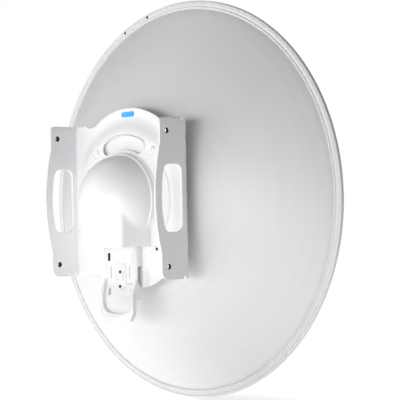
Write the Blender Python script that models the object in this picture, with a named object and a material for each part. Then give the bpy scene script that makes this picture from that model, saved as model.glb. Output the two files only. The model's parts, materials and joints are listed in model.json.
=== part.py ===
# Microwave dish antenna for a point-to-point radio link, seen from behind in the photograph.
# Metres, +Z up. +Y is the direction the dish looks in, and the pole bracket is behind it at -Y.
# Every piece is modelled about the dish's own axis, with the rim plane at y = 0, and hangs from one
# empty. The empty's place puts the world's origin on the bracket's right-hand outer face.
import math

import bmesh
import bpy
from mathutils import Vector

# Reflector: a spun aluminium paraboloid with a flat rim flange and a turned lip
RIM_RADIUS = 0.325
BOWL_RADIUS = 0.309
HUB_HOLE_RADIUS = 0.030
FOCAL_LENGTH = 0.2016
VERTEX_Y = -0.1224
REFLECTOR_SHEET = 0.0016
FLANGE_BACK_Y = -0.0030
LIP_FRONT_Y = 0.0035
LIP_THICKNESS = 0.0016
REFLECTOR_STEPS = 64
REFLECTOR_STATIONS = 11
RIM_HOLE_RADIUS = 0.0022
RIM_HOLE_CIRCLE = 0.3195
RIM_HOLE_ANGLES = (105.0, 115.7)

# Pole bracket: one folded 3 mm sheet with a raised round centre and a raised channel below it
SHEET = 0.003
PLATE_BACK_Y = -0.1285
PLATE_FRONT_Y = PLATE_BACK_Y + SHEET
BRACKET_HALF_WIDTH = 0.128
BRACKET_HALF_HEIGHT = 0.1215
FOLD_RADIUS = 0.0045
WING_END_TOP_Y = -0.1868
WING_END_BOTTOM_Y = -0.1822
WING_BULGE_Y = -0.1942
WING_CORNER_RADIUS = 0.009
SLOT_FRONT_Y = -0.1385
SLOT_BACK_Y = -0.1825
SLOT_HALF_HEIGHT = 0.0515
SLOT_BULGE = 0.0060
WING_HOLE_Y = -0.1689
WING_HOLE_Z = 0.1017
WING_HOLE_RADIUS = 0.0044
RELIEF_Y = -0.1322
RELIEF_RADIUS = 0.0016
BUMP_RADIUS = 0.116
BUMP_TOP_Z = 0.1450
BUMP_BOTTOM_Z = -0.1420
EDGE_DIP_X = 0.0868
EDGE_DIP_RADIUS = 0.0085
RAISED_Y = -0.1387
RAISED_SHEET = 0.0032
RAISED_OUTER_RADIUS = 0.131
RAISED_INNER_RADIUS = 0.104
RAISED_SIDE_FOOT_X = 0.1225
RAISED_SIDE_TOP_X = 0.1075
CHANNEL_HALF_WIDTH = 0.0405
CHANNEL_WALL_SPREAD = 0.0055
WINDOW_INNER_RADIUS = 0.0752
WINDOW_OUTER_RADIUS = 0.1033
WINDOW_HALF_ANGLE = 33.0
COLLAR_HEIGHT = 0.0025
COLLAR_FOOT = 0.0018
COLLAR_WIDTH = 0.0038
HUB_OPENING_RADIUS = 0.030
DIMPLE_RADIUS = 0.0056
DIMPLE_DEPTH = 0.0018
ROUND_STEPS = 48

# Fasteners that hold the bracket to the reflector
STANDOFF_X = 0.0645
STANDOFF_Z = 0.0765
STANDOFF_RADIUS = 0.0075
HUB_PLATE_RADIUS = 0.1015
HUB_PLATE_THICKNESS = 0.002
SCREW_SHANK_RADIUS = 0.0025
SCREW_HOLE_RADIUS = 0.0029
SCREW_HEAD_RADIUS = 0.0048
SCREW_HEAD_HEIGHT = 0.0030
FLUSH_HEAD_HEIGHT = 0.0017
HUB_BOLT_CIRCLE = 0.052
HUB_BOLT_ANGLE = 47.0

# Radio cover: a hollow plastic dome whose lower half runs down into an open chute
COVER_SEAT_Y = RAISED_Y - 0.0003
COVER_FLANGE_RADIUS = 0.0736
COVER_FLANGE_BACK_Y = -0.1456
COVER_RADIUS = 0.0712
COVER_SHOULDER_Y = -0.1497
DOME_DEPTH = 0.0585
COVER_WALL = 0.0025
CHUTE_HALF_WIDTH = 0.0500
CHUTE_FOOT_HALF_WIDTH = 0.0553
CHUTE_BACK_Y = -0.1920
CHUTE_BOTTOM_Z = -0.0730
CHUTE_CORNER_RADIUS = 0.009

# Radio cradle: the long tray that guides and latches the radio
CRADLE_HALF_WIDTH = 0.0374
CRADLE_FACE_Y = -0.1505
CRADLE_FLOOR = 0.0025
CRADLE_TOP_Z = -0.0460
CRADLE_WALL = 0.0028
CRADLE_SEAT_Y = RAISED_Y - 0.0003
LIP_BACK_Y = -0.1600
LIP_FLOOR_Y = -0.1545
LIP_FRONT_FACE_Y = -0.1525
LIP_WALL = 0.0028
LIP_BOTTOM_Z = -0.1910
LIP_BOTTOM_WALL = 0.0140
STRIP_HALF_WIDTH = 0.0134
STRIP_BACK_Y = -0.1526
STRIP_TOP_Z = -0.0980
STRIP_BOTTOM_Z = -0.1443
STRIP_SCREW_Z = (-0.1126, -0.1352)

# Feed: tube, dielectric cone and splash plate at the focus, in front of the reflector
FEED_TUBE_RADIUS = 0.020
FEED_BORE_RADIUS = 0.0165
FEED_TUBE_FRONT_Y = 0.030
FEED_FLANGE_RADIUS = 0.046
FEED_FLANGE_FRONT_Y = -0.1120
FEED_SCREW_CIRCLE = 0.036
FEED_SCREW_ANGLE = 47.0
SPLASH_RADIUS = 0.046
SPLASH_BACK_Y = 0.066
SPLASH_FRONT_Y = 0.0790

GAP = 0.0003
ORIGIN_Y = -0.134

CORNERS = {
    "upper_left": (-1, 1),
    "upper_right": (1, 1),
    "lower_left": (-1, -1),
    "lower_right": (1, -1),
}


def clear_scene():
    for old in list(bpy.data.objects):
        bpy.data.objects.remove(old, do_unlink=True)


def make_material(name, colour, roughness, metallic=0.0):
    material = bpy.data.materials.new(name)
    material.use_nodes = True
    shader = material.node_tree.nodes["Principled BSDF"]
    shader.inputs["Base Color"].default_value = (*colour, 1.0)
    shader.inputs["Roughness"].default_value = roughness
    shader.inputs["Metallic"].default_value = metallic
    return material


def add_object(name, mesh_builder, material, parent, location=(0, 0, 0)):
    """One named object from a bmesh, shaded smooth with sharp edges kept."""
    bmesh.ops.recalc_face_normals(mesh_builder, faces=mesh_builder.faces)
    mesh = bpy.data.meshes.new(name)
    mesh_builder.to_mesh(mesh)
    mesh_builder.free()
    mesh.materials.append(material)
    mesh.shade_smooth()
    mesh.set_sharp_from_angle(angle=math.radians(35))
    piece = bpy.data.objects.new(name, mesh)
    piece.location = location
    piece.parent = parent
    bpy.context.scene.collection.objects.link(piece)
    return piece


def helper(name, mesh_builder, parent, location=(0, 0, 0)):
    """A cutter or a filler that only shapes other pieces."""
    piece = add_object(name, mesh_builder, MATERIALS["helper"], parent, location)
    piece.hide_render = True
    piece.display_type = "WIRE"
    return piece


def boolean(piece, other, operation="DIFFERENCE"):
    modifier = piece.modifiers.new(f"{operation.lower()} {other.name}", "BOOLEAN")
    modifier.operation = operation
    modifier.solver = "EXACT"
    modifier.object = other


def arc(centre_u, centre_v, radius, start, end, steps):
    """Points on an arc, its angles in degrees from the first axis towards the second."""
    points = []
    for step in range(steps + 1):
        angle = math.radians(start + (end - start) * step / steps)
        points.append((centre_u + radius * math.cos(angle), centre_v + radius * math.sin(angle)))
    return points


def prism(outline, start, end, axis):
    """An outline pushed along one axis. It is read as (x, z) for Y, (y, z) for X and (x, y) for Z."""
    place = {
        "X": lambda u, v, w: (w, u, v),
        "Y": lambda u, v, w: (u, w, v),
        "Z": lambda u, v, w: (u, v, w),
    }[axis]
    builder = bmesh.new()
    face = builder.faces.new([builder.verts.new(place(u, v, start)) for u, v in outline])
    pushed = bmesh.ops.extrude_face_region(builder, geom=[face])
    moved = [item for item in pushed["geom"] if isinstance(item, bmesh.types.BMVert)]
    shift = Vector(place(0, 0, end)) - Vector(place(0, 0, start))
    bmesh.ops.translate(builder, verts=moved, vec=shift)
    return builder


def box(low, high):
    """A block between two corners."""
    builder = bmesh.new()
    bmesh.ops.create_cube(builder, size=1.0)
    size = [high[i] - low[i] for i in range(3)]
    middle = [(high[i] + low[i]) / 2 for i in range(3)]
    bmesh.ops.scale(builder, vec=size, verts=builder.verts)
    bmesh.ops.translate(builder, vec=middle, verts=builder.verts)
    return builder


def turned(profile, steps):
    """A closed (radius, y) profile turned once about the Y axis. A radius of 0 lies on the axis."""
    builder = bmesh.new()
    rings = []
    for radius, y in profile:
        if radius == 0:
            rings.append([builder.verts.new((0, y, 0))] * steps)
            continue
        ring = []
        for step in range(steps):
            angle = 2 * math.pi * step / steps
            ring.append(builder.verts.new((radius * math.cos(angle), y, radius * math.sin(angle))))
        rings.append(ring)
    for ring, following in zip(rings, rings[1:] + rings[:1]):
        for step in range(steps):
            after = (step + 1) % steps
            corners = [ring[step], ring[after], following[after], following[step]]
            corners = list(dict.fromkeys(corners))
            if len(corners) > 2:
                builder.faces.new(corners)
    return builder


def rod(radius, start, end, steps=16):
    """A plain round bar along Y."""
    return turned([(0, start), (radius, start), (radius, end), (0, end)], steps)


def tube(inner, outer, start, end, steps=32):
    return turned([(inner, start), (outer, start), (outer, end), (inner, end)], steps)


def bowl_y(radius):
    """Height of the reflecting front surface above the rim plane."""
    return VERTEX_Y + radius * radius / (4 * FOCAL_LENGTH)


def bowl_back(radius):
    """The point of the back surface behind a point of the front one, across the sheet."""
    slope = radius / (2 * FOCAL_LENGTH)
    length = math.hypot(1, slope)
    return radius + REFLECTOR_SHEET * slope / length, bowl_y(radius) - REFLECTOR_SHEET / length


def bowl_stations():
    """Radii from the hub hole to the rim fillet, closer together near the rim."""
    radii = []
    for step in range(REFLECTOR_STATIONS):
        share = step / (REFLECTOR_STATIONS - 1)
        radii.append(HUB_HOLE_RADIUS + (BOWL_RADIUS - HUB_HOLE_RADIUS) * share**0.92)
    return radii


def make_reflector(parent):
    radii = bowl_stations()
    front = [(radius, bowl_y(radius)) for radius in radii]
    back = [bowl_back(radius) for radius in reversed(radii)]
    flange_front_y = FLANGE_BACK_Y + REFLECTOR_SHEET
    rim = [
        (BOWL_RADIUS + 0.0022, flange_front_y - 0.0013),
        (BOWL_RADIUS + 0.0048, flange_front_y - 0.0003),
        (BOWL_RADIUS + 0.0075, flange_front_y),
        (RIM_RADIUS - LIP_THICKNESS - 0.0012, flange_front_y),
        (RIM_RADIUS - LIP_THICKNESS, flange_front_y + 0.0010),
        (RIM_RADIUS - LIP_THICKNESS, LIP_FRONT_Y),
        (RIM_RADIUS, LIP_FRONT_Y),
        (RIM_RADIUS, FLANGE_BACK_Y + 0.0010),
        (RIM_RADIUS - 0.0010, FLANGE_BACK_Y - 0.0005),
        (RIM_RADIUS - 0.0026, FLANGE_BACK_Y - 0.0005),
        (RIM_RADIUS - 0.0034, FLANGE_BACK_Y),
        (BOWL_RADIUS + 0.0078, FLANGE_BACK_Y),
        (BOWL_RADIUS + 0.0053, FLANGE_BACK_Y - 0.0004),
        (BOWL_RADIUS + 0.0030, FLANGE_BACK_Y - 0.0014),
    ]
    reflector = add_object(
        "reflector", turned(front + rim + back, REFLECTOR_STEPS), MATERIALS["painted_aluminium"], parent
    )
    for number, angle in enumerate(RIM_HOLE_ANGLES):
        x = RIM_HOLE_CIRCLE * math.cos(math.radians(angle))
        z = RIM_HOLE_CIRCLE * math.sin(math.radians(angle))
        hole = helper(f"rim_hole_cutter_{number}", rod(RIM_HOLE_RADIUS, -0.02, 0.02, 10), parent, (x, 0, z))
        boolean(reflector, hole)
    for corner, (side, level) in CORNERS.items():
        place = (side * STANDOFF_X, 0, level * STANDOFF_Z)
        hole = helper(f"bolt_hole_cutter_{corner}", rod(0.0034, -0.14, -0.05, 12), parent, place)
        boolean(reflector, hole)
    return reflector


def behind_reflector(parent):
    """A filler a gap behind the reflector's back, which shapes what is seated on it."""
    profile = [(0, bowl_back(0)[1] - GAP)]
    profile += [(r, y - GAP) for r, y in map(bowl_back, bowl_stations()[:6])]
    profile += [(profile[-1][0], 0.0), (0, 0.0)]
    return helper("back_seat_cutter", turned(profile, REFLECTOR_STEPS), parent)


def before_reflector(parent):
    """A filler a gap in front of the reflecting surface."""
    profile = [(0, -0.16)]
    profile += [(bowl_stations()[5], -0.16)]
    profile += [(radius, bowl_y(radius) + GAP) for radius in reversed(bowl_stations()[:6])]
    profile += [(0, VERTEX_Y + GAP)]
    return helper("front_seat_cutter", turned(profile, REFLECTOR_STEPS), parent)


def seat_profile(points, inner, outer, shift):
    """The part of a turned sheet's profile between two radii, moved along Y, to seat a ring on it."""
    def height(radius):
        for (r0, y0), (r1, y1) in zip(points, points[1:]):
            if r0 <= radius <= r1:
                return y0 + (y1 - y0) * (radius - r0) / (r1 - r0) + shift
        return points[0][1] + shift

    between = [radius for radius, _ in points if inner < radius < outer]
    return [(radius, height(radius)) for radius in [inner, *between, outer]]


def folded_sheet_outline():
    """The bracket's U section in (x, y): the plate and both wings with rounded folds."""
    inner_radius = FOLD_RADIUS - SHEET
    x_out = BRACKET_HALF_WIDTH
    x_in = x_out - SHEET
    tip = -0.200
    fold_x = x_out - FOLD_RADIUS
    fold_y = PLATE_FRONT_Y - FOLD_RADIUS
    outline = [(x_out, tip)]
    outline += arc(fold_x, fold_y, FOLD_RADIUS, 0, 90, 5)
    outline += arc(-fold_x, fold_y, FOLD_RADIUS, 90, 180, 5)
    outline += [(-x_out, tip), (-x_in, tip)]
    outline += arc(-fold_x, fold_y, inner_radius, 180, 90, 3)
    outline += arc(fold_x, fold_y, inner_radius, 90, 0, 3)
    outline += [(x_in, tip)]
    return outline


def wing_outline():
    """A wing seen from the side, in (y, z): rounded corners and a free edge that bulges at the hand slot."""
    radius = WING_CORNER_RADIUS
    half = BRACKET_HALF_HEIGHT
    reach = 0.066
    outline = [(0.0, -half), (0.0, half)]
    outline += arc(WING_END_TOP_Y + radius, half - radius, radius, 90, 180, 4)
    steps = 16
    for step in range(steps + 1):
        z = reach - 2 * reach * step / steps
        end = WING_END_BOTTOM_Y + (WING_END_TOP_Y - WING_END_BOTTOM_Y) * (z + reach) / (2 * reach)
        swell = math.cos(math.pi * z / (2 * reach)) ** 2
        outline.append((end + (WING_BULGE_Y - end) * swell, z))
    outline += arc(WING_END_BOTTOM_Y + radius, radius - half, radius, 180, 270, 4)
    return outline


def hand_slot_outline():
    """The hand slot in (y, z): straight towards the fold, bowed along the free edge, with round ends."""
    corner = 0.012
    half = SLOT_HALF_HEIGHT
    end_y = SLOT_BACK_Y + SLOT_BULGE
    outline = arc(SLOT_FRONT_Y - corner, half - corner, corner, 0, 90, 5)
    outline += arc(end_y + corner + 0.002, half - corner, corner, 90, 165, 5)
    steps = 8
    reach = half - corner - 0.004
    for step in range(steps + 1):
        z = reach - 2 * reach * step / steps
        outline.append((end_y - SLOT_BULGE * (1 - (z / reach) ** 2), z))
    outline += arc(end_y + corner + 0.002, corner - half, corner, 195, 270, 5)
    outline += arc(SLOT_FRONT_Y - corner, corner - half, corner, 270, 360, 5)
    return outline


def window_outline(middle_angle, inset):
    """A kidney outline in (x, z) about an angle in degrees from +x, with round ends, drawn in by inset."""
    inner = WINDOW_INNER_RADIUS + inset
    outer = WINDOW_OUTER_RADIUS - inset
    middle_radius = (inner + outer) / 2
    end_radius = (WINDOW_OUTER_RADIUS - WINDOW_INNER_RADIUS) / 2
    spread = WINDOW_HALF_ANGLE - math.degrees(end_radius / middle_radius)
    first, last = middle_angle - spread, middle_angle + spread
    outline = arc(0, 0, outer, first, last, 12)
    for angle, start, end in ((last, outer, inner), (first, inner, outer)):
        turn = 0 if start == outer else 180
        x = middle_radius * math.cos(math.radians(angle))
        z = middle_radius * math.sin(math.radians(angle))
        outline += arc(x, z, end_radius - inset, angle + turn, angle + turn + 180, 8)[1:-1]
        if start == outer:
            outline += arc(0, 0, inner, last, first, 10)
    return outline


def collar_builder(middle_angle):
    """The raised rim round a window: a solid that narrows from its foot to its crest."""
    foot = window_outline(middle_angle, 0.0)
    crest = window_outline(middle_angle, COLLAR_FOOT)
    builder = bmesh.new()
    rings = []
    for outline, y in ((foot, RAISED_Y + 0.001), (foot, RAISED_Y), (crest, RAISED_Y - COLLAR_HEIGHT)):
        rings.append([builder.verts.new((x, y, z)) for x, z in outline])
    for ring, following in zip(rings, rings[1:]):
        for index in range(len(ring)):
            after = (index + 1) % len(ring)
            builder.faces.new([ring[index], ring[after], following[after], following[index]])
    builder.faces.new(rings[0])
    builder.faces.new(list(reversed(rings[-1])))
    return builder


def raised_centre(name, parent, shift, front_y):
    """The round raised centre, its flanks pulled in beside the wings. shift moves its back along Y."""
    base = PLATE_BACK_Y + shift
    crown = RAISED_Y + shift
    profile = [(0, front_y), (RAISED_OUTER_RADIUS, front_y), (RAISED_OUTER_RADIUS, base)]
    profile += [(RAISED_INNER_RADIUS, crown), (0, crown)]
    centre = helper(name, turned(profile, ROUND_STEPS), parent)
    flank = [(RAISED_SIDE_FOOT_X, front_y + 0.005), (RAISED_SIDE_FOOT_X, base), (RAISED_SIDE_TOP_X, crown - 0.001)]
    outline = flank + [(-x, y) for x, y in reversed(flank)]
    boolean(centre, helper(f"{name}_flanks", prism(outline, -0.16, 0.16, "Z"), parent), "INTERSECT")
    return centre


def bump_outline(top_z):
    """The round bump on the plate's top or bottom edge, in (x, z)."""
    sign = 1 if top_z > 0 else -1
    centre_z = top_z - sign * BUMP_RADIUS
    edge = sign * (BRACKET_HALF_HEIGHT - 0.002)
    reach = math.degrees(math.acos((abs(edge) - abs(centre_z)) / BUMP_RADIUS))
    points = arc(0, centre_z, BUMP_RADIUS, sign * 90 - reach, sign * 90 + reach, 22)
    inner = sign * 0.105
    return points + [(points[-1][0], inner), (points[0][0], inner)]


def channel_builder(grow, back_y, front_y):
    """The raised channel's solid: wider towards the plate, along Z down past the bottom edge."""
    top = CHANNEL_HALF_WIDTH + grow
    foot = top + CHANNEL_WALL_SPREAD
    outline = [(-top, back_y), (top, back_y), (foot, front_y), (-foot, front_y)]
    return prism(outline, -0.16, -0.02, "Z")


def make_bracket(parent):
    bracket = add_object(
        "mount_bracket",
        prism(folded_sheet_outline(), -BRACKET_HALF_HEIGHT, BRACKET_HALF_HEIGHT, "Z"),
        MATERIALS["powder_coat"],
        parent,
    )
    side_shape = helper("wing_shape", prism(wing_outline(), -0.15, 0.15, "X"), parent)
    boolean(bracket, side_shape, "INTERSECT")

    # The bumps, the raised centre and the channel are fused on, and their underside is then hollowed
    for name, top_z in (("top_bump", BUMP_TOP_Z), ("bottom_bump", BUMP_BOTTOM_Z)):
        bump = helper(name, prism(bump_outline(top_z), PLATE_BACK_Y, PLATE_FRONT_Y, "Y"), parent)
        boolean(bracket, bump, "UNION")
    raised = raised_centre("raised_centre", parent, 0.0, PLATE_FRONT_Y - 0.0010)
    boolean(bracket, raised, "UNION")
    channel = helper("raised_channel", channel_builder(0, RAISED_Y, PLATE_FRONT_Y - 0.0012), parent)
    plate_limit = helper("plate_limit", prism(bump_outline(BUMP_BOTTOM_Z), -0.20, -0.10, "Y"), parent)
    middle_limit = helper(
        "middle_limit", box((-0.12, -0.20, -BRACKET_HALF_HEIGHT + 0.003), (0.12, -0.10, 0.10)), parent
    )
    boolean(plate_limit, middle_limit, "UNION")
    boolean(channel, plate_limit, "INTERSECT")
    boolean(bracket, channel, "UNION")
    for name, angle in (("top", 90), ("left", 180), ("right", 0)):
        collar = helper(f"{name}_collar", collar_builder(angle), parent)
        boolean(bracket, collar, "UNION")
    boolean(bracket, raised_centre("raised_hollow", parent, RAISED_SHEET, PLATE_FRONT_Y + 0.01))
    channel_hollow = helper(
        "channel_hollow", channel_builder(-SHEET, RAISED_Y + RAISED_SHEET, PLATE_FRONT_Y + 0.004), parent
    )
    boolean(bracket, channel_hollow)

    # Dimples and holes where the bracket is screwed to the standoffs
    for corner, (side, level) in CORNERS.items():
        place = (side * STANDOFF_X, 0, level * STANDOFF_Z)
        dimple = helper(f"dimple_{corner}", rod(DIMPLE_RADIUS, -0.16, RAISED_Y + DIMPLE_DEPTH, 20), parent, place)
        hole = helper(f"dimple_hole_{corner}", rod(SCREW_HOLE_RADIUS, -0.16, -0.10, 12), parent, place)
        boolean(bracket, dimple)
        boolean(bracket, hole)

    # Openings: the hub, the kidney windows, the hand slots, the bolt holes and the bend reliefs
    hub_hole = helper("hub_hole_cutter", rod(HUB_OPENING_RADIUS, -0.16, -0.10, 32), parent)
    boolean(bracket, hub_hole)
    for name, angle in (("top", 90), ("left", 180), ("right", 0)):
        outline = window_outline(angle, COLLAR_WIDTH)
        window = helper(f"{name}_window_cutter", prism(outline, -0.16, -0.11, "Y"), parent)
        boolean(bracket, window)
    for side, name in ((-1, "left"), (1, "right")):
        slot = prism(hand_slot_outline(), side * 0.1235, side * 0.15, "X")
        boolean(bracket, helper(f"{name}_hand_slot_cutter", slot, parent))
    for level, name in ((1, "upper"), (-1, "lower")):
        outline = arc(WING_HOLE_Y, level * WING_HOLE_Z, WING_HOLE_RADIUS, 0, 345, 23)
        boolean(bracket, helper(f"{name}_wing_hole_cutter", prism(outline, -0.15, 0.15, "X"), parent))
        outline = arc(RELIEF_Y, level * BRACKET_HALF_HEIGHT, RELIEF_RADIUS, 15, 345, 9)
        boolean(bracket, helper(f"{name}_relief_cutter", prism(outline, -0.15, 0.15, "X"), parent))
        for side in (-1, 1):
            outline = arc(
                side * EDGE_DIP_X, level * (0.1185 + EDGE_DIP_RADIUS), EDGE_DIP_RADIUS, 0, 337.5, 15
            )
            name_side = "left" if side < 0 else "right"
            dip = helper(f"{name}_{name_side}_dip_cutter", prism(outline, -0.16, -0.11, "Y"), parent)
            boolean(bracket, dip)
    for number, z in enumerate(STRIP_SCREW_Z):
        hole = helper(f"strip_hole_cutter_{number}", rod(SCREW_HOLE_RADIUS, -0.16, -0.12, 12), parent, (0, 0, z))
        boolean(bracket, hole)
    for number in range(4):
        angle = math.radians(HUB_BOLT_ANGLE + 90 * number)
        place = (HUB_BOLT_CIRCLE * math.cos(angle), 0, HUB_BOLT_CIRCLE * math.sin(angle))
        hole = helper(f"hub_bolt_hole_{number}", rod(SCREW_HOLE_RADIUS, -0.16, -0.13, 12), parent, place)
        boolean(bracket, hole)
    return bracket


def screw(name, parent, place, head_y, tip_y, sign=-1, height=SCREW_HEAD_HEIGHT):
    """A pan-head screw along Y with a round socket. sign is the side its head stands on."""
    head_end = head_y + sign * height
    profile = [
        (0, head_end - sign * 0.0014),
        (0.0018, head_end - sign * 0.0014),
        (0.0018, head_end),
        (SCREW_HEAD_RADIUS - 0.0010, head_end),
        (SCREW_HEAD_RADIUS, head_end - sign * 0.0008),
        (SCREW_HEAD_RADIUS, head_y),
        (SCREW_SHANK_RADIUS, head_y),
        (SCREW_SHANK_RADIUS, tip_y),
        (0, tip_y),
    ]
    return add_object(name, turned(profile, 12), MATERIALS["steel"], parent, place)


def make_standoffs(parent, back_seat, front_seat):
    for corner, (side, level) in CORNERS.items():
        place = (side * STANDOFF_X, 0, level * STANDOFF_Z)
        base_y = RAISED_Y + RAISED_SHEET + HUB_PLATE_THICKNESS + 2 * GAP
        profile = [
            (SCREW_HOLE_RADIUS, base_y),
            (STANDOFF_RADIUS, base_y),
            (STANDOFF_RADIUS, -0.095),
            (SCREW_HOLE_RADIUS, -0.095),
        ]
        standoff = add_object(f"standoff_{corner}", turned(profile, 16), MATERIALS["steel"], parent, place)
        boolean(standoff, back_seat)
        seat_y = RAISED_Y + DIMPLE_DEPTH - GAP
        screw(f"bracket_screw_{corner}", parent, place, seat_y, -0.1180, height=FLUSH_HEAD_HEIGHT)
        radius = math.hypot(STANDOFF_X, STANDOFF_Z) + SCREW_HEAD_RADIUS
        head_front = bowl_y(radius) + 0.0015
        head = rod(SCREW_HEAD_RADIUS, head_front - 0.008, head_front, 16)
        bolt = add_object(f"reflector_bolt_{corner}", head, MATERIALS["steel"], parent, place)
        boolean(bolt, front_seat)
        shank = helper(
            f"bolt_shank_{corner}", rod(SCREW_SHANK_RADIUS, -0.1150, head_front - 0.0007, 12), parent, place
        )
        boolean(bolt, shank, "UNION")


def make_hub(parent):
    """The flat plate behind the windows and the ring that carries it on the reflector."""
    plate_y = RAISED_Y + RAISED_SHEET + GAP
    plate = add_object(
        "hub_plate",
        tube(HUB_OPENING_RADIUS, HUB_PLATE_RADIUS, plate_y, plate_y + HUB_PLATE_THICKNESS, REFLECTOR_STEPS),
        MATERIALS["painted_aluminium"],
        parent,
    )
    seat = seat_profile([bowl_back(radius) for radius in bowl_stations()], HUB_OPENING_RADIUS, 0.060, -GAP)
    base_y = plate_y + HUB_PLATE_THICKNESS + GAP
    profile = [(HUB_OPENING_RADIUS, base_y), (0.060, base_y), *reversed(seat)]
    ring = add_object("hub_ring", turned(profile, REFLECTOR_STEPS), MATERIALS["cast_alloy"], parent)
    for number in range(4):
        angle = math.radians(HUB_BOLT_ANGLE + 90 * number)
        place = (HUB_BOLT_CIRCLE * math.cos(angle), 0, HUB_BOLT_CIRCLE * math.sin(angle))
        hole = helper(f"hub_hole_{number}", rod(SCREW_HOLE_RADIUS, -0.15, -0.10, 12), parent, place)
        boolean(plate, hole)
        boolean(ring, hole)
        screw(f"hub_bolt_{number + 1}", parent, place, RAISED_Y - GAP, -0.1240)
    for corner, (side, level) in CORNERS.items():
        place = (side * STANDOFF_X, 0, level * STANDOFF_Z)
        hole = helper(f"hub_plate_hole_{corner}", rod(SCREW_HOLE_RADIUS, -0.15, -0.10, 12), parent, place)
        boolean(plate, hole)


def dome_profile(inset):
    """The cover's turned outline, offset inwards by inset."""
    points = []
    steps = 9
    for step in range(steps + 1):
        angle = math.radians(90 * step / steps)
        radius = (COVER_RADIUS - inset) * math.cos(angle)
        y = COVER_SHOULDER_Y - (DOME_DEPTH - inset) * math.sin(angle)
        points.append((radius if step < steps else 0, y))
    return points


def chute_outline(inset, front_y):
    """The chute's section in (x, y): walls that widen towards the bracket, round corners at the back."""
    half = CHUTE_HALF_WIDTH - inset
    back = CHUTE_BACK_Y + inset
    radius = CHUTE_CORNER_RADIUS - inset
    foot = CHUTE_FOOT_HALF_WIDTH - inset
    outline = [(foot, front_y), (-foot, front_y), (-foot, COVER_SEAT_Y), (-foot + 0.0008, COVER_SEAT_Y - 0.008)]
    outline += arc(-half + radius, back + radius, radius, 180, 270, 6)
    outline += arc(half - radius, back + radius, radius, 270, 360, 6)
    outline += [(foot - 0.0008, COVER_SEAT_Y - 0.008), (foot, COVER_SEAT_Y)]
    return outline[2:] if front_y == COVER_SEAT_Y else outline


def make_cover(parent):
    outer = [
        (0, COVER_SEAT_Y),
        (COVER_FLANGE_RADIUS, COVER_SEAT_Y),
        (COVER_FLANGE_RADIUS, COVER_FLANGE_BACK_Y + 0.0012),
        (COVER_FLANGE_RADIUS - 0.0012, COVER_FLANGE_BACK_Y),
        (COVER_RADIUS, COVER_FLANGE_BACK_Y),
    ]
    cover = add_object(
        "radio_cover", turned(outer + dome_profile(0), ROUND_STEPS), MATERIALS["white_plastic"], parent
    )
    chute = helper("chute", prism(chute_outline(0, COVER_SEAT_Y), CHUTE_BOTTOM_Z, 0.0, "Z"), parent)
    boolean(cover, chute, "UNION")
    inner = [(0, -0.10), (COVER_RADIUS - COVER_WALL, -0.10)]
    inner_dome = helper("cover_hollow", turned(inner + dome_profile(COVER_WALL), ROUND_STEPS), parent)
    boolean(cover, inner_dome)
    inner_chute = helper(
        "chute_hollow", prism(chute_outline(COVER_WALL, -0.10), CHUTE_BOTTOM_Z - 0.02, -0.004, "Z"), parent
    )
    boolean(cover, inner_chute)
    return cover


def cradle_plan():
    """The cradle seen from behind, in (x, z): a straight tray with a rounded lower end."""
    half = CRADLE_HALF_WIDTH
    right = [(half, CRADLE_TOP_Z), (half, -0.1700), (0.0315, -0.1862), (0.0140, LIP_BOTTOM_Z + 0.0006)]
    return right + [(-x, z) for x, z in reversed(right)]


def lip_plan():
    """The raised U-shaped lip, in (x, z)."""
    half = CRADLE_HALF_WIDTH + 0.004
    inner = CRADLE_HALF_WIDTH - LIP_WALL
    floor_z = LIP_BOTTOM_Z + LIP_BOTTOM_WALL
    hollow = [(inner, -0.150), (inner, -0.1640), (0.0318, -0.1695), (0.0260, -0.1742), (0.0120, floor_z)]
    outer = [(half, -0.200), (half, -0.150)]
    return outer + hollow + [(-x, z) for x, z in reversed(hollow)] + [(-x, z) for x, z in reversed(outer)]


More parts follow.
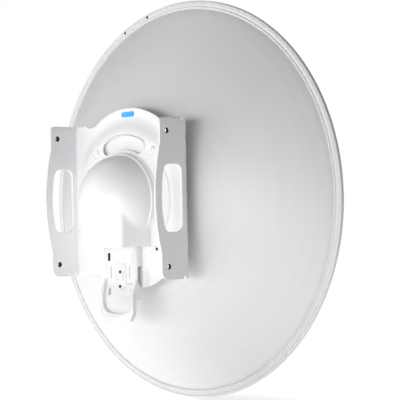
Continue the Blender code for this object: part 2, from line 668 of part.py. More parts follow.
def make_cradle(parent):
    front = CRADLE_FACE_Y + CRADLE_FLOOR
    # The floor seen from the side, in (y, z): flat at the top, then bent back to the deeper lower end
    floor = [
        (front, CRADLE_TOP_Z),
        (front, -0.131),
        (LIP_FRONT_FACE_Y, -0.150),
        (LIP_FRONT_FACE_Y, -0.195),
        (LIP_FLOOR_Y, -0.195),
        (LIP_FLOOR_Y, -0.151),
        (CRADLE_FACE_Y, -0.132),
        (CRADLE_FACE_Y, CRADLE_TOP_Z),
    ]
    half = CRADLE_HALF_WIDTH
    cradle = add_object(
        "radio_cradle", prism(floor, -half + 0.001, half - 0.001, "X"), MATERIALS["white_plastic"], parent
    )
    upper_wall = [
        (CRADLE_FACE_Y, CRADLE_TOP_Z),
        (CRADLE_SEAT_Y, CRADLE_TOP_Z),
        (CRADLE_SEAT_Y, -0.103),
        (front, -0.103),
        (front, -0.125),
        (CRADLE_FACE_Y, -0.125),
    ]
    lower_wall = [
        (CRADLE_FACE_Y, -0.120),
        (front, -0.120),
        (front, -0.131),
        (-0.1460, -0.1305),
        (-0.1424, -0.1370),
        (-0.1424, -0.1515),
        (-0.1440, -0.1538),
        (LIP_FRONT_FACE_Y, -0.1538),
        (LIP_FRONT_FACE_Y, -0.168),
        (LIP_BACK_Y, -0.168),
        (LIP_BACK_Y, -0.146),
    ]
    for side in (-1, 1):
        name = "left" if side < 0 else "right"
        inner = side * (half - CRADLE_WALL)
        wall = helper(f"{name}_upper_wall", prism(upper_wall, inner, side * half, "X"), parent)
        boolean(cradle, wall, "UNION")
        inner = side * (half - LIP_WALL)
        wall = helper(f"{name}_lower_wall", prism(lower_wall, inner, side * half, "X"), parent)
        boolean(cradle, wall, "UNION")
    lip = helper("cradle_lip", prism(lip_plan(), LIP_FRONT_FACE_Y - 0.0005, LIP_BACK_Y, "Y"), parent)
    boolean(cradle, lip, "UNION")
    plan = helper("cradle_plan", prism(cradle_plan(), -0.18, -0.12, "Y"), parent)
    boolean(cradle, plan, "INTERSECT")
    for side in (-1, 1):
        name = "left" if side < 0 else "right"
        for part, (x_low, x_high, z_low, z_high) in {
            "latch_slot": (0.0225, 0.0298, -0.0970, -0.0795),
            "lower_slot": (0.0240, 0.0293, -0.1500, -0.1380),
            "slit": (0.0207, 0.0219, -0.1227, -0.1030),
        }.items():
            low_x, high_x = sorted((side * x_low, side * x_high))
            cutter = helper(
                f"{name}_{part}_cutter", box((low_x, -0.158, z_low), (high_x, -0.143, z_high)), parent
            )
            boolean(cradle, cutter)
    for number, z in enumerate(STRIP_SCREW_Z):
        hole = helper(f"cradle_hole_cutter_{number}", rod(SCREW_HOLE_RADIUS, -0.17, -0.13, 12), parent, (0, 0, z))
        boolean(cradle, hole)
    return cradle


def make_cradle_fittings(parent):
    floor_slope = (LIP_FLOOR_Y - CRADLE_FACE_Y) / (-0.151 + 0.132)
    foot_y = CRADLE_FACE_Y + floor_slope * (STRIP_BOTTOM_Z + 0.132) - GAP
    thickness = CRADLE_FACE_Y - GAP - STRIP_BACK_Y
    # The strip seen from the side, in (y, z): it follows the tray's floor where that is bent back
    outline = [
        (CRADLE_FACE_Y - GAP, STRIP_TOP_Z),
        (STRIP_BACK_Y, STRIP_TOP_Z - 0.0010),
        (STRIP_BACK_Y, -0.1322),
        (foot_y - thickness, STRIP_BOTTOM_Z + 0.0004),
        (foot_y, STRIP_BOTTOM_Z),
        (CRADLE_FACE_Y - GAP, -0.1320),
    ]
    strip = add_object(
        "clamp_strip", prism(outline, -STRIP_HALF_WIDTH, STRIP_HALF_WIDTH, "X"), MATERIALS["white_plastic"], parent
    )
    block = add_object(
        "cradle_support",
        box((-0.012, CRADLE_FACE_Y + CRADLE_FLOOR + GAP, -0.1305), (0.012, CRADLE_SEAT_Y, -0.1040)),
        MATERIALS["white_plastic"],
        parent,
    )
    foot = add_object(
        "cradle_foot",
        prism(
            [
                (CRADLE_SEAT_Y, -0.1308),
                (-0.1475, -0.1308),
                (-0.1487, -0.1395),
                (CRADLE_SEAT_Y, -0.1395),
            ],
            -0.012,
            0.012,
            "X",
        ),
        MATERIALS["white_plastic"],
        parent,
    )
    for number, z in enumerate(STRIP_SCREW_Z):
        place = (0, 0, z)
        bore = helper(f"strip_bore_{number}", rod(SCREW_HOLE_RADIUS, -0.170, -0.130, 12), parent, place)
        boolean(strip, bore)
        boolean(block if number == 0 else foot, bore)
        name = "upper" if number == 0 else "lower"
        head_y = STRIP_BACK_Y + (0.0002 if number == 0 else -0.0006)
        profile = [
            (0, head_y + 0.0008),
            (0.0012, head_y + 0.0008),
            (0.0012, head_y),
            (0.0026, head_y + 0.0002),
            (0.0026, -0.1300),
            (0, -0.1300),
        ]
        add_object(f"cradle_screw_{name}", turned(profile, 12), MATERIALS["dark_steel"], parent, place)


def make_feed(parent):
    seat = seat_profile(
        [(radius, bowl_y(radius)) for radius in bowl_stations()], HUB_HOLE_RADIUS, FEED_FLANGE_RADIUS, GAP
    )
    profile = [
        (FEED_FLANGE_RADIUS, FEED_FLANGE_FRONT_Y - 0.0015),
        (FEED_FLANGE_RADIUS - 0.0015, FEED_FLANGE_FRONT_Y),
        (FEED_TUBE_RADIUS + GAP, FEED_FLANGE_FRONT_Y),
        (FEED_TUBE_RADIUS + GAP, -0.1280),
        (HUB_HOLE_RADIUS - GAP, -0.1280),
        (HUB_HOLE_RADIUS - GAP, seat[0][1]),
    ]
    flange = add_object(
        "feed_flange", turned(profile + seat, REFLECTOR_STEPS), MATERIALS["cast_alloy"], parent
    )
    for number in range(4):
        angle = math.radians(FEED_SCREW_ANGLE + 90 * number)
        place = (FEED_SCREW_CIRCLE * math.cos(angle), 0, FEED_SCREW_CIRCLE * math.sin(angle))
        hole = helper(f"feed_flange_hole_{number}", rod(SCREW_HOLE_RADIUS, -0.13, -0.10, 12), parent, place)
        boolean(flange, hole)
        screw(f"feed_screw_{number + 1}", parent, place, FEED_FLANGE_FRONT_Y + GAP, -0.1185, sign=1)
    add_object(
        "feed_tube",
        turned(
            [
                (0, -0.1277),
                (FEED_TUBE_RADIUS, -0.1277),
                (FEED_TUBE_RADIUS, 0.000),
                (FEED_TUBE_RADIUS - 0.0015, FEED_TUBE_FRONT_Y),
                (FEED_BORE_RADIUS, FEED_TUBE_FRONT_Y),
                (FEED_BORE_RADIUS, 0.0100),
                (0, 0.0100),
            ],
            32,
        ),
        MATERIALS["anodised"],
        parent,
    )
    cone = [
        (0, 0.0103),
        (FEED_BORE_RADIUS - GAP, 0.0103),
        (FEED_BORE_RADIUS - GAP, FEED_TUBE_FRONT_Y + GAP),
        (FEED_TUBE_RADIUS - 0.0015, FEED_TUBE_FRONT_Y + GAP),
        (0.0265, 0.0500),
        (SPLASH_RADIUS - 0.004, SPLASH_BACK_Y - GAP),
        (0.020, SPLASH_BACK_Y - GAP),
        (0, SPLASH_BACK_Y - GAP),
    ]
    add_object("feed_cone", turned(cone, 36), MATERIALS["dielectric"], parent)
    splash = [
        (0, SPLASH_BACK_Y),
        (SPLASH_RADIUS - 0.001, SPLASH_BACK_Y),
        (SPLASH_RADIUS, SPLASH_BACK_Y + 0.001),
        (SPLASH_RADIUS, SPLASH_BACK_Y + 0.004),
        (SPLASH_RADIUS - 0.008, SPLASH_FRONT_Y - 0.004),
        (0.020, SPLASH_FRONT_Y - 0.0008),
        (0, SPLASH_FRONT_Y),
    ]
    add_object("splash_plate", turned(splash, 40), MATERIALS["white_plastic"], parent)


def make_adapter(parent):
    """The waveguide adapter behind the bracket, which the radio's port meets inside the cover."""
    disc = [
        (0, RAISED_Y - GAP - 0.002),
        (0.0095, RAISED_Y - GAP - 0.002),
        (0.0095, RAISED_Y - GAP - 0.006),
        (0.0445, RAISED_Y - GAP - 0.006),
        (0.0445, RAISED_Y - GAP),
        (0.0240, RAISED_Y - GAP),
        (0.0240, -0.1283),
        (0, -0.1283),
    ]
    add_object("waveguide_adapter", turned(disc, 36), MATERIALS["cast_alloy"], parent)


def make_badge(parent):
    """A plain pill-shaped badge with nothing on it, on the bracket's top bump."""
    half_length = 0.0145
    half_height = 0.0042
    straight = half_length - half_height
    outline = arc(straight, 0, half_height, -90, 90, 8) + arc(-straight, 0, half_height, 90, 270, 8)
    back = PLATE_BACK_Y - GAP
    add_object(
        "badge", prism(outline, back - 0.0008, back, "Y"), MATERIALS["blue_enamel"], parent, (0, 0, 0.135)
    )


clear_scene()
MATERIALS = {
    "painted_aluminium": make_material("painted_aluminium", (0.80, 0.80, 0.81), 0.45),
    "powder_coat": make_material("powder_coat", (0.86, 0.86, 0.87), 0.50),
    "white_plastic": make_material("white_plastic", (0.88, 0.88, 0.88), 0.38),
    "steel": make_material("steel", (0.62, 0.62, 0.63), 0.35, 1.0),
    "dark_steel": make_material("dark_steel", (0.05, 0.05, 0.05), 0.45, 1.0),
    "cast_alloy": make_material("cast_alloy", (0.66, 0.67, 0.68), 0.50, 1.0),
    "anodised": make_material("anodised", (0.72, 0.73, 0.75), 0.35, 1.0),
    "dielectric": make_material("dielectric", (0.90, 0.89, 0.85), 0.40),
    "blue_enamel": make_material("blue_enamel", (0.03, 0.36, 0.85), 0.30),
    "helper": make_material("helper", (0.5, 0.5, 0.5), 0.5),
}

dish_axis = bpy.data.objects.new("dish_axis", None)
dish_axis.location = (-BRACKET_HALF_WIDTH, -ORIGIN_Y, 0)
bpy.context.scene.collection.objects.link(dish_axis)

BACK_SEAT = behind_reflector(dish_axis)
FRONT_SEAT = before_reflector(dish_axis)
make_reflector(dish_axis)
make_bracket(dish_axis)
make_standoffs(dish_axis, BACK_SEAT, FRONT_SEAT)
make_hub(dish_axis)
make_cover(dish_axis)
make_cradle(dish_axis)
make_cradle_fittings(dish_axis)
make_feed(dish_axis)
make_adapter(dish_axis)
make_badge(dish_axis)
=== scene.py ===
# %% [markdown]
# # A microwave dish antenna
# This lesson dresses a point-to-point radio dish, seen from behind: a spun reflector, the folded
# bracket that clamps to a pole, the cover and the tray that hold a small radio, and the feed on the
# dish's other side. The frame below brings in the plain solids at their real size and place.
# Everything made here is fitted to them, so no size is guessed twice.

# %% Load the frame
import json
import math

import bmesh
import bpy
import numpy
from mathutils import Matrix, Vector
from mathutils.geometry import delaunay_2d_cdt

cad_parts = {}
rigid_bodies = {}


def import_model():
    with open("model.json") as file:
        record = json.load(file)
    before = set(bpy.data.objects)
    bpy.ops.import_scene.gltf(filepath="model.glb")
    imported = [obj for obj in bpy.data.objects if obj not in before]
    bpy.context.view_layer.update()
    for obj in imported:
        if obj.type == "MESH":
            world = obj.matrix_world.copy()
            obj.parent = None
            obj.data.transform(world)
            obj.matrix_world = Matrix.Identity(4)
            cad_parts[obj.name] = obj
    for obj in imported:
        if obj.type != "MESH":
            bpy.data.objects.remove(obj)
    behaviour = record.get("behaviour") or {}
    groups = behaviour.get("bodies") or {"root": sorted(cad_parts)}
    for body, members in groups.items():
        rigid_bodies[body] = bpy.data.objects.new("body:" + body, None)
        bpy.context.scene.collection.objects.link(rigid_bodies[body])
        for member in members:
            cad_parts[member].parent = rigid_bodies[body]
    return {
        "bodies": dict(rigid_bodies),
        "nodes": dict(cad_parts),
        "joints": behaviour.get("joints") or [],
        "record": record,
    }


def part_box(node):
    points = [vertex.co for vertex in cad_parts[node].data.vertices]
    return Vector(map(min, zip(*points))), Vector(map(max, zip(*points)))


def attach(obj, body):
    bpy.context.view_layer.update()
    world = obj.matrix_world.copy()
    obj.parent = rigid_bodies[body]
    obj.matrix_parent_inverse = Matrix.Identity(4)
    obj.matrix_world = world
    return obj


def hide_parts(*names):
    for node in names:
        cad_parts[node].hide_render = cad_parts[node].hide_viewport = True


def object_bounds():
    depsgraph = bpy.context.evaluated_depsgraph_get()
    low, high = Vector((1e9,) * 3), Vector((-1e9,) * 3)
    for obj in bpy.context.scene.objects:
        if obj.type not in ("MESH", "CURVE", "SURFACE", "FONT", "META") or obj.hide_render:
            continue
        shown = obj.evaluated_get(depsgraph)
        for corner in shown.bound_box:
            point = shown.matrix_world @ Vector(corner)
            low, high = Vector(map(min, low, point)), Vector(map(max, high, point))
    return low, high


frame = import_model()
nodes = frame["nodes"]
cad_low, cad_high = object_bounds()
print("solids:", len(nodes), "box in metres:", [round(v, 4) for v in cad_high - cad_low])

# %% [markdown]
# Every piece is modelled about the dish's own axis, because almost all of it is round about that
# axis. The reflector's box gives the axis, and the plane of its rim is a known step behind the lip.
# Sizes below are in metres: x to the right and z up as seen from behind, and y the way it looks.

# %% Find the dish's axis
LIP_FRONT_Y = 0.0035
dish_low, dish_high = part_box("reflector")
DISH_CENTRE = Vector(((dish_low.x + dish_high.x) / 2, dish_high.y - LIP_FRONT_Y, 0))
RIM_RADIUS = (dish_high.x - dish_low.x) / 2
print("rim radius in mm:", round(RIM_RADIUS * 1000, 1))

# %% [markdown]
# ## Camera
# The photograph was taken from behind the dish and to its right, with a long lens at about the
# height of the dish's middle. The camera's place and its three angles were worked out from the
# rim's ellipse and the bracket's corners, so edges in the render fall on the same edges there.

# %% Set the camera
CAMERA_PLACE = (1.5898, -1.5963, -0.0221)
CAMERA_AZIMUTH = 44.3367
CAMERA_ELEVATION = -0.5239
CAMERA_ROLL = -1.1499
CAMERA_LENS = 123.294
SENSOR_WIDTH = 36.0


def direction(azimuth, elevation):
    """The unit vector from the dish towards a viewer at these angles, in degrees."""
    turn, rise = math.radians(azimuth), math.radians(elevation)
    return Vector((math.sin(turn) * math.cos(rise), -math.cos(turn) * math.cos(rise), math.sin(rise)))


def aim(thing, backwards, roll=0.0):
    """Turns a camera or a light so that its back points along a vector, rolled in degrees."""
    facing = backwards.to_track_quat("Z", "Y").to_matrix().to_4x4()
    thing.rotation_mode = "QUATERNION"
    thing.rotation_quaternion = (facing @ Matrix.Rotation(math.radians(roll), 4, "Z")).to_quaternion()


def link(thing):
    """Puts an object in the scene and hands it back."""
    bpy.context.scene.collection.objects.link(thing)
    return thing


camera_data = bpy.data.cameras.new("camera")
camera_data.sensor_width = SENSOR_WIDTH
camera_data.lens = CAMERA_LENS
camera_data.clip_end = 30.0
camera = link(bpy.data.objects.new("camera", camera_data))
camera.location = DISH_CENTRE + Vector(CAMERA_PLACE)
aim(camera, direction(CAMERA_AZIMUTH, CAMERA_ELEVATION), CAMERA_ROLL)
bpy.context.scene.camera = camera
print("camera to dish in metres:", round(Vector(CAMERA_PLACE).length, 3))

# %% [markdown]
# ## Node helpers
# A finish is a small network of nodes. The first helper adds a node and fills its inputs, either
# with a value or with another node's output. The others name the few steps that every finish here
# is made of: a noise, a product, a change of range and a group with named sockets.

# %% Helpers for node networks
def add(tree, kind, inputs=None, **settings):
    """A new node of a kind. Each of its inputs is given a value, or the output that feeds it."""
    node = tree.nodes.new(kind)
    for key, value in settings.items():
        setattr(node, key, value)
    for key, value in (inputs or {}).items():
        if isinstance(value, bpy.types.NodeSocket):
            tree.links.new(value, node.inputs[key])
        else:
            node.inputs[key].default_value = value
    return node


def noise(tree, scale, detail, roughness):
    """A noise that is fixed to the object."""
    place = add(tree, "ShaderNodeTexCoord").outputs["Object"]
    inputs = {"Vector": place, "Scale": scale, "Detail": detail, "Roughness": roughness}
    return add(tree, "ShaderNodeTexNoise", inputs).outputs["Fac"]


def times(tree, first, second):
    """The product of two outputs."""
    return add(tree, "ShaderNodeMath", {0: first, 1: second}, operation="MULTIPLY").outputs["Value"]


def spread(tree, value, low, high, start=0.3, end=0.7, shape="LINEAR"):
    """Maps values from start to end onto low to high. The default start and end suit a noise."""
    span = {"Value": value, "From Min": start, "From Max": end, "To Min": low, "To Max": high}
    return add(tree, "ShaderNodeMapRange", span, interpolation_type=shape).outputs["Result"]


def new_group(name, inputs, outputs):
    """A shader group whose inputs are numbers with a default. Hands back the sockets at its two ends."""
    group = bpy.data.node_groups.new(name, "ShaderNodeTree")
    for label, value in inputs.items():
        socket = group.interface.new_socket(label, in_out="INPUT", socket_type="NodeSocketFloat")
        socket.default_value = value
    for label in outputs:
        group.interface.new_socket(label, in_out="OUTPUT", socket_type="NodeSocketFloat")
    return group, add(group, "NodeGroupInput").outputs, add(group, "NodeGroupOutput").inputs


def use_group(tree, group, **values):
    """The outputs of a group placed in a material."""
    return add(tree, "ShaderNodeGroup", values, node_tree=group).outputs


print("Blender", bpy.app.version_string)

# %% [markdown]
# ## Shared surface effects
# Four effects turn up in several finishes, so each is a group. Orange peel is the faint ripple of
# powder coat and of moulded plastic. Spinning marks are the fine rings that a lathe leaves about
# the dish's axis. Edge wear finds edges by comparing the true normal with a rounded one. Settled
# dust lies where a surface faces up.

# %% Group: orange peel
def make_peel():
    defaults = {"Grain": 700.0, "Patch": 9.0}
    group, given, result = new_group("orange_peel", defaults, ("Height", "Mottle"))
    group.links.new(noise(group, given["Grain"], 2.0, 0.45), result["Height"])
    group.links.new(noise(group, given["Patch"], 3.0, 0.55), result["Mottle"])
    return group


PEEL = make_peel()
print("group:", PEEL.name, "nodes:", len(PEEL.nodes))

# %% Group: spinning marks about the dish's axis
def make_spinning():
    defaults = {"Rings": 900.0, "Broad Rings": 90.0}
    group, given, result = new_group("spinning_marks", defaults, ("Height", "Bands"))
    place = add(group, "ShaderNodeTexCoord").outputs["Object"]
    split = add(group, "ShaderNodeSeparateXYZ", {"Vector": place}).outputs
    flat = add(group, "ShaderNodeCombineXYZ", {"X": split["X"], "Z": split["Z"]}).outputs["Vector"]
    radius = add(group, "ShaderNodeVectorMath", {0: flat}, operation="LENGTH").outputs["Value"]
    for label, output in (("Rings", "Height"), ("Broad Rings", "Bands")):
        inputs = {"W": times(group, radius, given[label]), "Scale": 1.0, "Detail": 2.0}
        rings = add(group, "ShaderNodeTexNoise", inputs, noise_dimensions="1D")
        group.links.new(rings.outputs["Fac"], result[output])
    return group


SPINNING = make_spinning()
print("group:", SPINNING.name, "nodes:", len(SPINNING.nodes))

# %% Group: edge wear
def make_edge_wear():
    group, given, result = new_group("edge_wear", {"Width": 0.0008, "Amount": 1.0}, ("Mask",))
    true_normal = add(group, "ShaderNodeNewGeometry").outputs["Normal"]
    rounded = add(group, "ShaderNodeBevel", {"Radius": given["Width"]}, samples=4).outputs["Normal"]
    alike = add(group, "ShaderNodeVectorMath", {0: true_normal, 1: rounded}, operation="DOT_PRODUCT")
    edge = spread(group, alike.outputs["Value"], 0.0, 1.0, start=0.99, end=0.80)
    worn = times(group, edge, noise(group, 160.0, 4.0, 0.7))
    group.links.new(times(group, worn, given["Amount"]), result["Mask"])
    return group


EDGE_WEAR = make_edge_wear()
print("group:", EDGE_WEAR.name, "nodes:", len(EDGE_WEAR.nodes))

# %% Group: settled dust
def make_dust():
    group, given, result = new_group("settled_dust", {"Amount": 0.1, "Size": 60.0}, ("Mask",))
    facing = add(group, "ShaderNodeNewGeometry").outputs["Normal"]
    upward = add(group, "ShaderNodeSeparateXYZ", {"Vector": facing}).outputs["Z"]
    upward = spread(group, upward, 0.0, 1.0, start=0.15, end=0.95)
    lying = times(group, upward, noise(group, given["Size"], 5.0, 0.65))
    group.links.new(times(group, lying, given["Amount"]), result["Mask"])
    return group


DUST = make_dust()
print("group:", DUST.name, "nodes:", len(DUST.nodes))

# %% [markdown]
# ## Finishes
# Most of the antenna is painted or moulded in nearly the same white, and only the small things are
# bare metal. Each finish is one function call with its own colour, gloss and scale of grain. The
# colour always varies a little over the surface, because a perfectly even white looks like a
# computer's and not like a factory's.

# %% Build a coated finish
ROAD_DUST = (0.52, 0.49, 0.44)


def new_material(name):
    """A material, its tree of nodes and the inputs of its shader."""
    material = bpy.data.materials.new(name)
    material.use_nodes = True
    return material, material.node_tree, material.node_tree.nodes["Principled BSDF"].inputs


def tint(tree, mask, base, other):
    """A colour that goes from a base to another one with a mask. The base is a colour or an output."""
    base = (*base, 1.0) if isinstance(base, tuple) else base
    colours = {"Factor": mask, 6: base, 7: (*other, 1.0)}
    return add(tree, "ShaderNodeMix", colours, data_type="RGBA").outputs[2]


def finish(tree, shader, colour, roughness, height, depth):
    """Feeds a colour, a roughness and a bump into the shader. The bump's depth is in metres."""
    relief = add(tree, "ShaderNodeBump", {"Height": height, "Strength": 1.0, "Distance": depth})
    tree.links.new(colour, shader["Base Color"])
    tree.links.new(roughness, shader["Roughness"])
    tree.links.new(relief.outputs["Normal"], shader["Normal"])


def coated(name, colour, shade, worn, roughness, grain, depth, dust=0.08, wear=0.25):
    """Powder coat or moulded plastic: mottled colour, orange peel, worn edges and dust."""
    material, tree, shader = new_material(name)
    peel = use_group(tree, PEEL, Grain=grain)
    base = tint(tree, spread(tree, peel["Mottle"], 0.0, 1.0), colour, shade)
    base = tint(tree, use_group(tree, EDGE_WEAR, Amount=wear)["Mask"], base, worn)
    base = tint(tree, use_group(tree, DUST, Amount=dust)["Mask"], base, ROAD_DUST)
    gloss = spread(tree, peel["Mottle"], roughness - 0.04, roughness + 0.05)
    finish(tree, shader, base, gloss, peel["Height"], depth)
    return material


BRACKET_COAT = coated(
    "bracket_powder_coat", (0.87, 0.87, 0.88), (0.84, 0.84, 0.86), (0.93, 0.93, 0.93),
    roughness=0.46, grain=900, depth=0.00004, dust=0.10, wear=0.30,
)
COVER_PLASTIC = coated(
    "satin_moulded_plastic", (0.89, 0.89, 0.885), (0.87, 0.87, 0.865), (0.94, 0.94, 0.94),
    roughness=0.36, grain=2200, depth=0.00001,
)
TRAY_PLASTIC = coated(
    "matt_moulded_plastic", (0.81, 0.81, 0.81), (0.79, 0.79, 0.785), (0.94, 0.94, 0.94),
    roughness=0.42, grain=2600, depth=0.000012,
)
FEED_PLASTIC = coated(
    "natural_feed_plastic", (0.88, 0.87, 0.82), (0.85, 0.83, 0.77), (0.92, 0.91, 0.87),
    roughness=0.40, grain=1800, depth=0.00001, dust=0.05, wear=0.20,
)
ENAMEL = coated(
    "blue_enamel_finish", (0.05, 0.42, 0.90), (0.04, 0.37, 0.84), (0.35, 0.66, 0.95),
    roughness=0.22, grain=1500, depth=0.000005, dust=0.03, wear=0.30,
)
print("coats:", [coat.name for coat in (BRACKET_COAT, COVER_PLASTIC, TRAY_PLASTIC, FEED_PLASTIC, ENAMEL)])

# %% [markdown]
# The reflector is spun from an aluminium disc and then painted a thin satin white, so the paint
# still shows the rings of the spinning as faint bands in its gloss.

# %% Finish: painted spun aluminium
def spun_paint():
    material, tree, shader = new_material("painted_spun_aluminium")
    rings = use_group(tree, SPINNING)
    peel = use_group(tree, PEEL, Grain=1100, Patch=5)
    base = tint(tree, spread(tree, peel["Mottle"], 0.0, 1.0), (0.705, 0.705, 0.715), (0.69, 0.69, 0.70))
    base = tint(tree, spread(tree, rings["Bands"], 0.0, 0.35), base, (0.74, 0.74, 0.745))
    base = tint(tree, use_group(tree, EDGE_WEAR, Amount=0.25)["Mask"], base, (0.82, 0.82, 0.83))
    base = tint(tree, use_group(tree, DUST, Amount=0.10, Size=30)["Mask"], base, (0.50, 0.47, 0.42))
    height = add(tree, "ShaderNodeMath", {0: rings["Height"], 1: peel["Height"]}, operation="ADD")
    finish(tree, shader, base, spread(tree, rings["Bands"], 0.40, 0.48), height.outputs["Value"], 0.00002)
    return material


DISH_PAINT = spun_paint()
print("paint:", DISH_PAINT.name)

# %% [markdown]
# The bare metals share one recipe: a metallic shader whose colour and gloss wander with the grain.
# Zinc plate is bright and slightly blotchy, a casting is rougher, and an anodised tube is smooth
# with rings from the lathe. The nearly black painted shade, put in holes and slots that look dark, takes the
# same recipe.

# %% Finishes: bare metals
def bare_metal(name, colour, shade, roughness, grain=1500, depth=0.00001, rings=0.0):
    """Zinc plate, casting or turned metal. Rings above 0 give it the lathe's marks as its relief."""
    material, tree, shader = new_material(name)
    shader["Metallic"].default_value = 1.0
    peel = use_group(tree, PEEL, Grain=grain, Patch=70)
    base = tint(tree, spread(tree, peel["Mottle"], 0.0, 1.0), colour, shade)
    edges = use_group(tree, EDGE_WEAR, Width=0.0004, Amount=0.5)
    base = tint(tree, edges["Mask"], base, (0.88, 0.88, 0.88))
    gloss = spread(tree, peel["Mottle"], roughness - 0.07, roughness + 0.09)
    marks = use_group(tree, SPINNING, Rings=rings) if rings > 0 else peel
    finish(tree, shader, base, gloss, marks["Height"], depth)
    return material


ZINC = bare_metal("zinc_plate", (0.66, 0.66, 0.67), (0.56, 0.57, 0.60), 0.32)
BLACK_SCREW = bare_metal("blackened_steel", (0.045, 0.045, 0.05), (0.03, 0.03, 0.03), 0.42)
# A near-black used as painted shade in holes and slots that look dark
SHADE_BLACK = bare_metal("painted_shade_black", (0.035, 0.035, 0.04), (0.03, 0.03, 0.03), 0.55)
CASTING = bare_metal("cast_alloy_finish", (0.66, 0.67, 0.68), (0.58, 0.59, 0.60), 0.48, 1300, 0.00006)
TURNED = bare_metal(
    "anodised_turned_alloy", (0.74, 0.75, 0.77), (0.70, 0.71, 0.74), 0.30, 1800, 0.00002, rings=2600.0
)
print("metals:", [metal.name for metal in (ZINC, BLACK_SCREW, SHADE_BLACK, CASTING, TURNED)])

# %% [markdown]
# ## Studio
# A pale floor just under the rim, which glows with painted light, and panels of light. The main light is a
# wide low panel behind the dish, which makes the rear faces nearly white. Panels further to the left model
# the round of the cover and leave the right-hand faces grey, and a weak one in front keeps the bowl
# from going black in other views.

# %% Build the lights
PANEL_DISTANCE = 2.6
PANEL_SIZE = 1.4
LOW_PANEL = 0.6


def soft_panel(name, azimuth, elevation, power, height=PANEL_SIZE):
    """An area light that faces the dish from these angles, in degrees."""
    data = bpy.data.lights.new(name, "AREA")
    data.shape = "RECTANGLE"
    data.size = PANEL_SIZE
    data.size_y = height
    data.energy = power
    panel = link(bpy.data.objects.new(name, data))
    towards = direction(azimuth, elevation)
    panel.location = DISH_CENTRE + towards * PANEL_DISTANCE
    aim(panel, towards)
    return panel


soft_panel("rear_key", 15, 0, 17.5, height=LOW_PANEL)
soft_panel("rear_left", -5, 0, 11.0, height=LOW_PANEL)
soft_panel("left_wall", -50, 20, 12.5)
soft_panel("left_high", -70, 60, 8.0)
soft_panel("front_fill", 180, 60, 9.0)

# %% [markdown]
# The floor glows with painted light, as if it were a white sweep lit from its far end. The glow
# rises with the distance from the dish, a painted contact shadow, and it is weak on the picture's
# right, painted shade that keeps the bracket's right-hand faces grey. Far out it is full again on all sides.

# %% Build the floor
FLOOR_GAP = 0.003
FLOOR_HALF = 9.0
FLOOR_Z = cad_low.z - FLOOR_GAP
TO_THE_RIGHT = (0.827, 0.585, 0.0)


def floor_painted_glow(tree):
    """The strength of the floor's painted glow at each point: a painted contact shadow near the dish and
    painted shade to the right. Distances are in metres from the origin.
    """
    place = add(tree, "ShaderNodeTexCoord").outputs["Object"]
    far = add(tree, "ShaderNodeVectorMath", {0: place}, operation="LENGTH").outputs["Value"]
    right = add(tree, "ShaderNodeVectorMath", {0: place, 1: TO_THE_RIGHT}, operation="DOT_PRODUCT")
    # Painted light: the glow is low near the dish, a painted contact shadow, and low to the right, painted
    # shade
    near = spread(tree, far, 0.20, 1.0, start=0.24, end=0.52, shape="SMOOTHSTEP")
    painted_right_shade = spread(tree, right.outputs["Value"], 1.0, 0.10, start=0.40, end=0.90, shape="SMOOTHSTEP")
    far_painted_glow = spread(tree, far, 0.0, 1.0, start=1.6, end=3.6)
    return add(tree, "ShaderNodeMath", {0: times(tree, near, painted_right_shade), 1: far_painted_glow}, operation="MAXIMUM")


def glowing_floor():
    """A wide flat sheet just under the dish, which glows with painted light."""
    builder = bmesh.new()
    corners = [(-1, -1), (1, -1), (1, 1), (-1, 1)]
    builder.faces.new([builder.verts.new((FLOOR_HALF * x, FLOOR_HALF * y, FLOOR_Z)) for x, y in corners])
    mesh = bpy.data.meshes.new("floor")
    builder.to_mesh(mesh)
    builder.free()
    material, tree, shader = new_material("pale_floor_painted_glow")
    shader["Base Color"].default_value = (0.95, 0.95, 0.95, 1.0)
    shader["Roughness"].default_value = 0.9
    shader["Emission Color"].default_value = (1, 1, 1, 1)
    # The floor's emission is painted light
    tree.links.new(floor_painted_glow(tree).outputs["Value"], shader["Emission Strength"])
    mesh.materials.append(material)
    return link(bpy.data.objects.new("floor", mesh))


floor = glowing_floor()
print("floor at z in mm:", round(FLOOR_Z * 1000, 1))

# %% [markdown]
# The air beyond the floor is plain white where the camera sees it, and gives hardly any light:
# the panels and the floor light the dish, so its shadows keep their shape.

# %% Set the surroundings
world = bpy.data.worlds.new("studio")
world.use_nodes = True
bpy.context.scene.world = world
sky = world.node_tree
background = sky.nodes["Background"]
background.inputs["Color"].default_value = (1, 1, 1, 1)
background.inputs["Strength"].default_value = 0.02
seen = add(sky, "ShaderNodeBackground", {"Color": (1, 1, 1, 1), "Strength": 1.0})
by_camera = add(sky, "ShaderNodeLightPath").outputs["Is Camera Ray"]
choice = add(sky, "ShaderNodeMixShader", {"Fac": by_camera, 1: background.outputs[0], 2: seen.outputs[0]})
sky.links.new(choice.outputs[0], sky.nodes["World Output"].inputs["Surface"])
bpy.context.scene.view_settings.view_transform = "Standard"
print("view transform:", bpy.context.scene.view_settings.view_transform)

# %% [markdown]
# ## Mesh helpers
# Most of the pieces come from the same few steps. A profile is turned about an axis, or an outline
# is pushed along one, and the result becomes an object on the dish's axis. Then solids are joined
# to it or cut out of it, and its edges are rounded. The first helpers give points for the outlines.

# %% Helpers for outlines
def arc(centre_u, centre_v, radius, start, end, steps):
    """Points on an arc, its angles in degrees from the first axis towards the second."""
    turn = [math.radians(start + (end - start) * step / steps) for step in range(steps + 1)]
    return [(centre_u + radius * math.cos(a), centre_v + radius * math.sin(a)) for a in turn]


def circle(centre_u, centre_v, radius, steps):
    return arc(centre_u, centre_v, radius, 0, 360 - 360 / steps, steps - 1)


def hexagon(radius, place, turn=0.0):
    return arc(*place, radius, turn, turn + 300, 5)


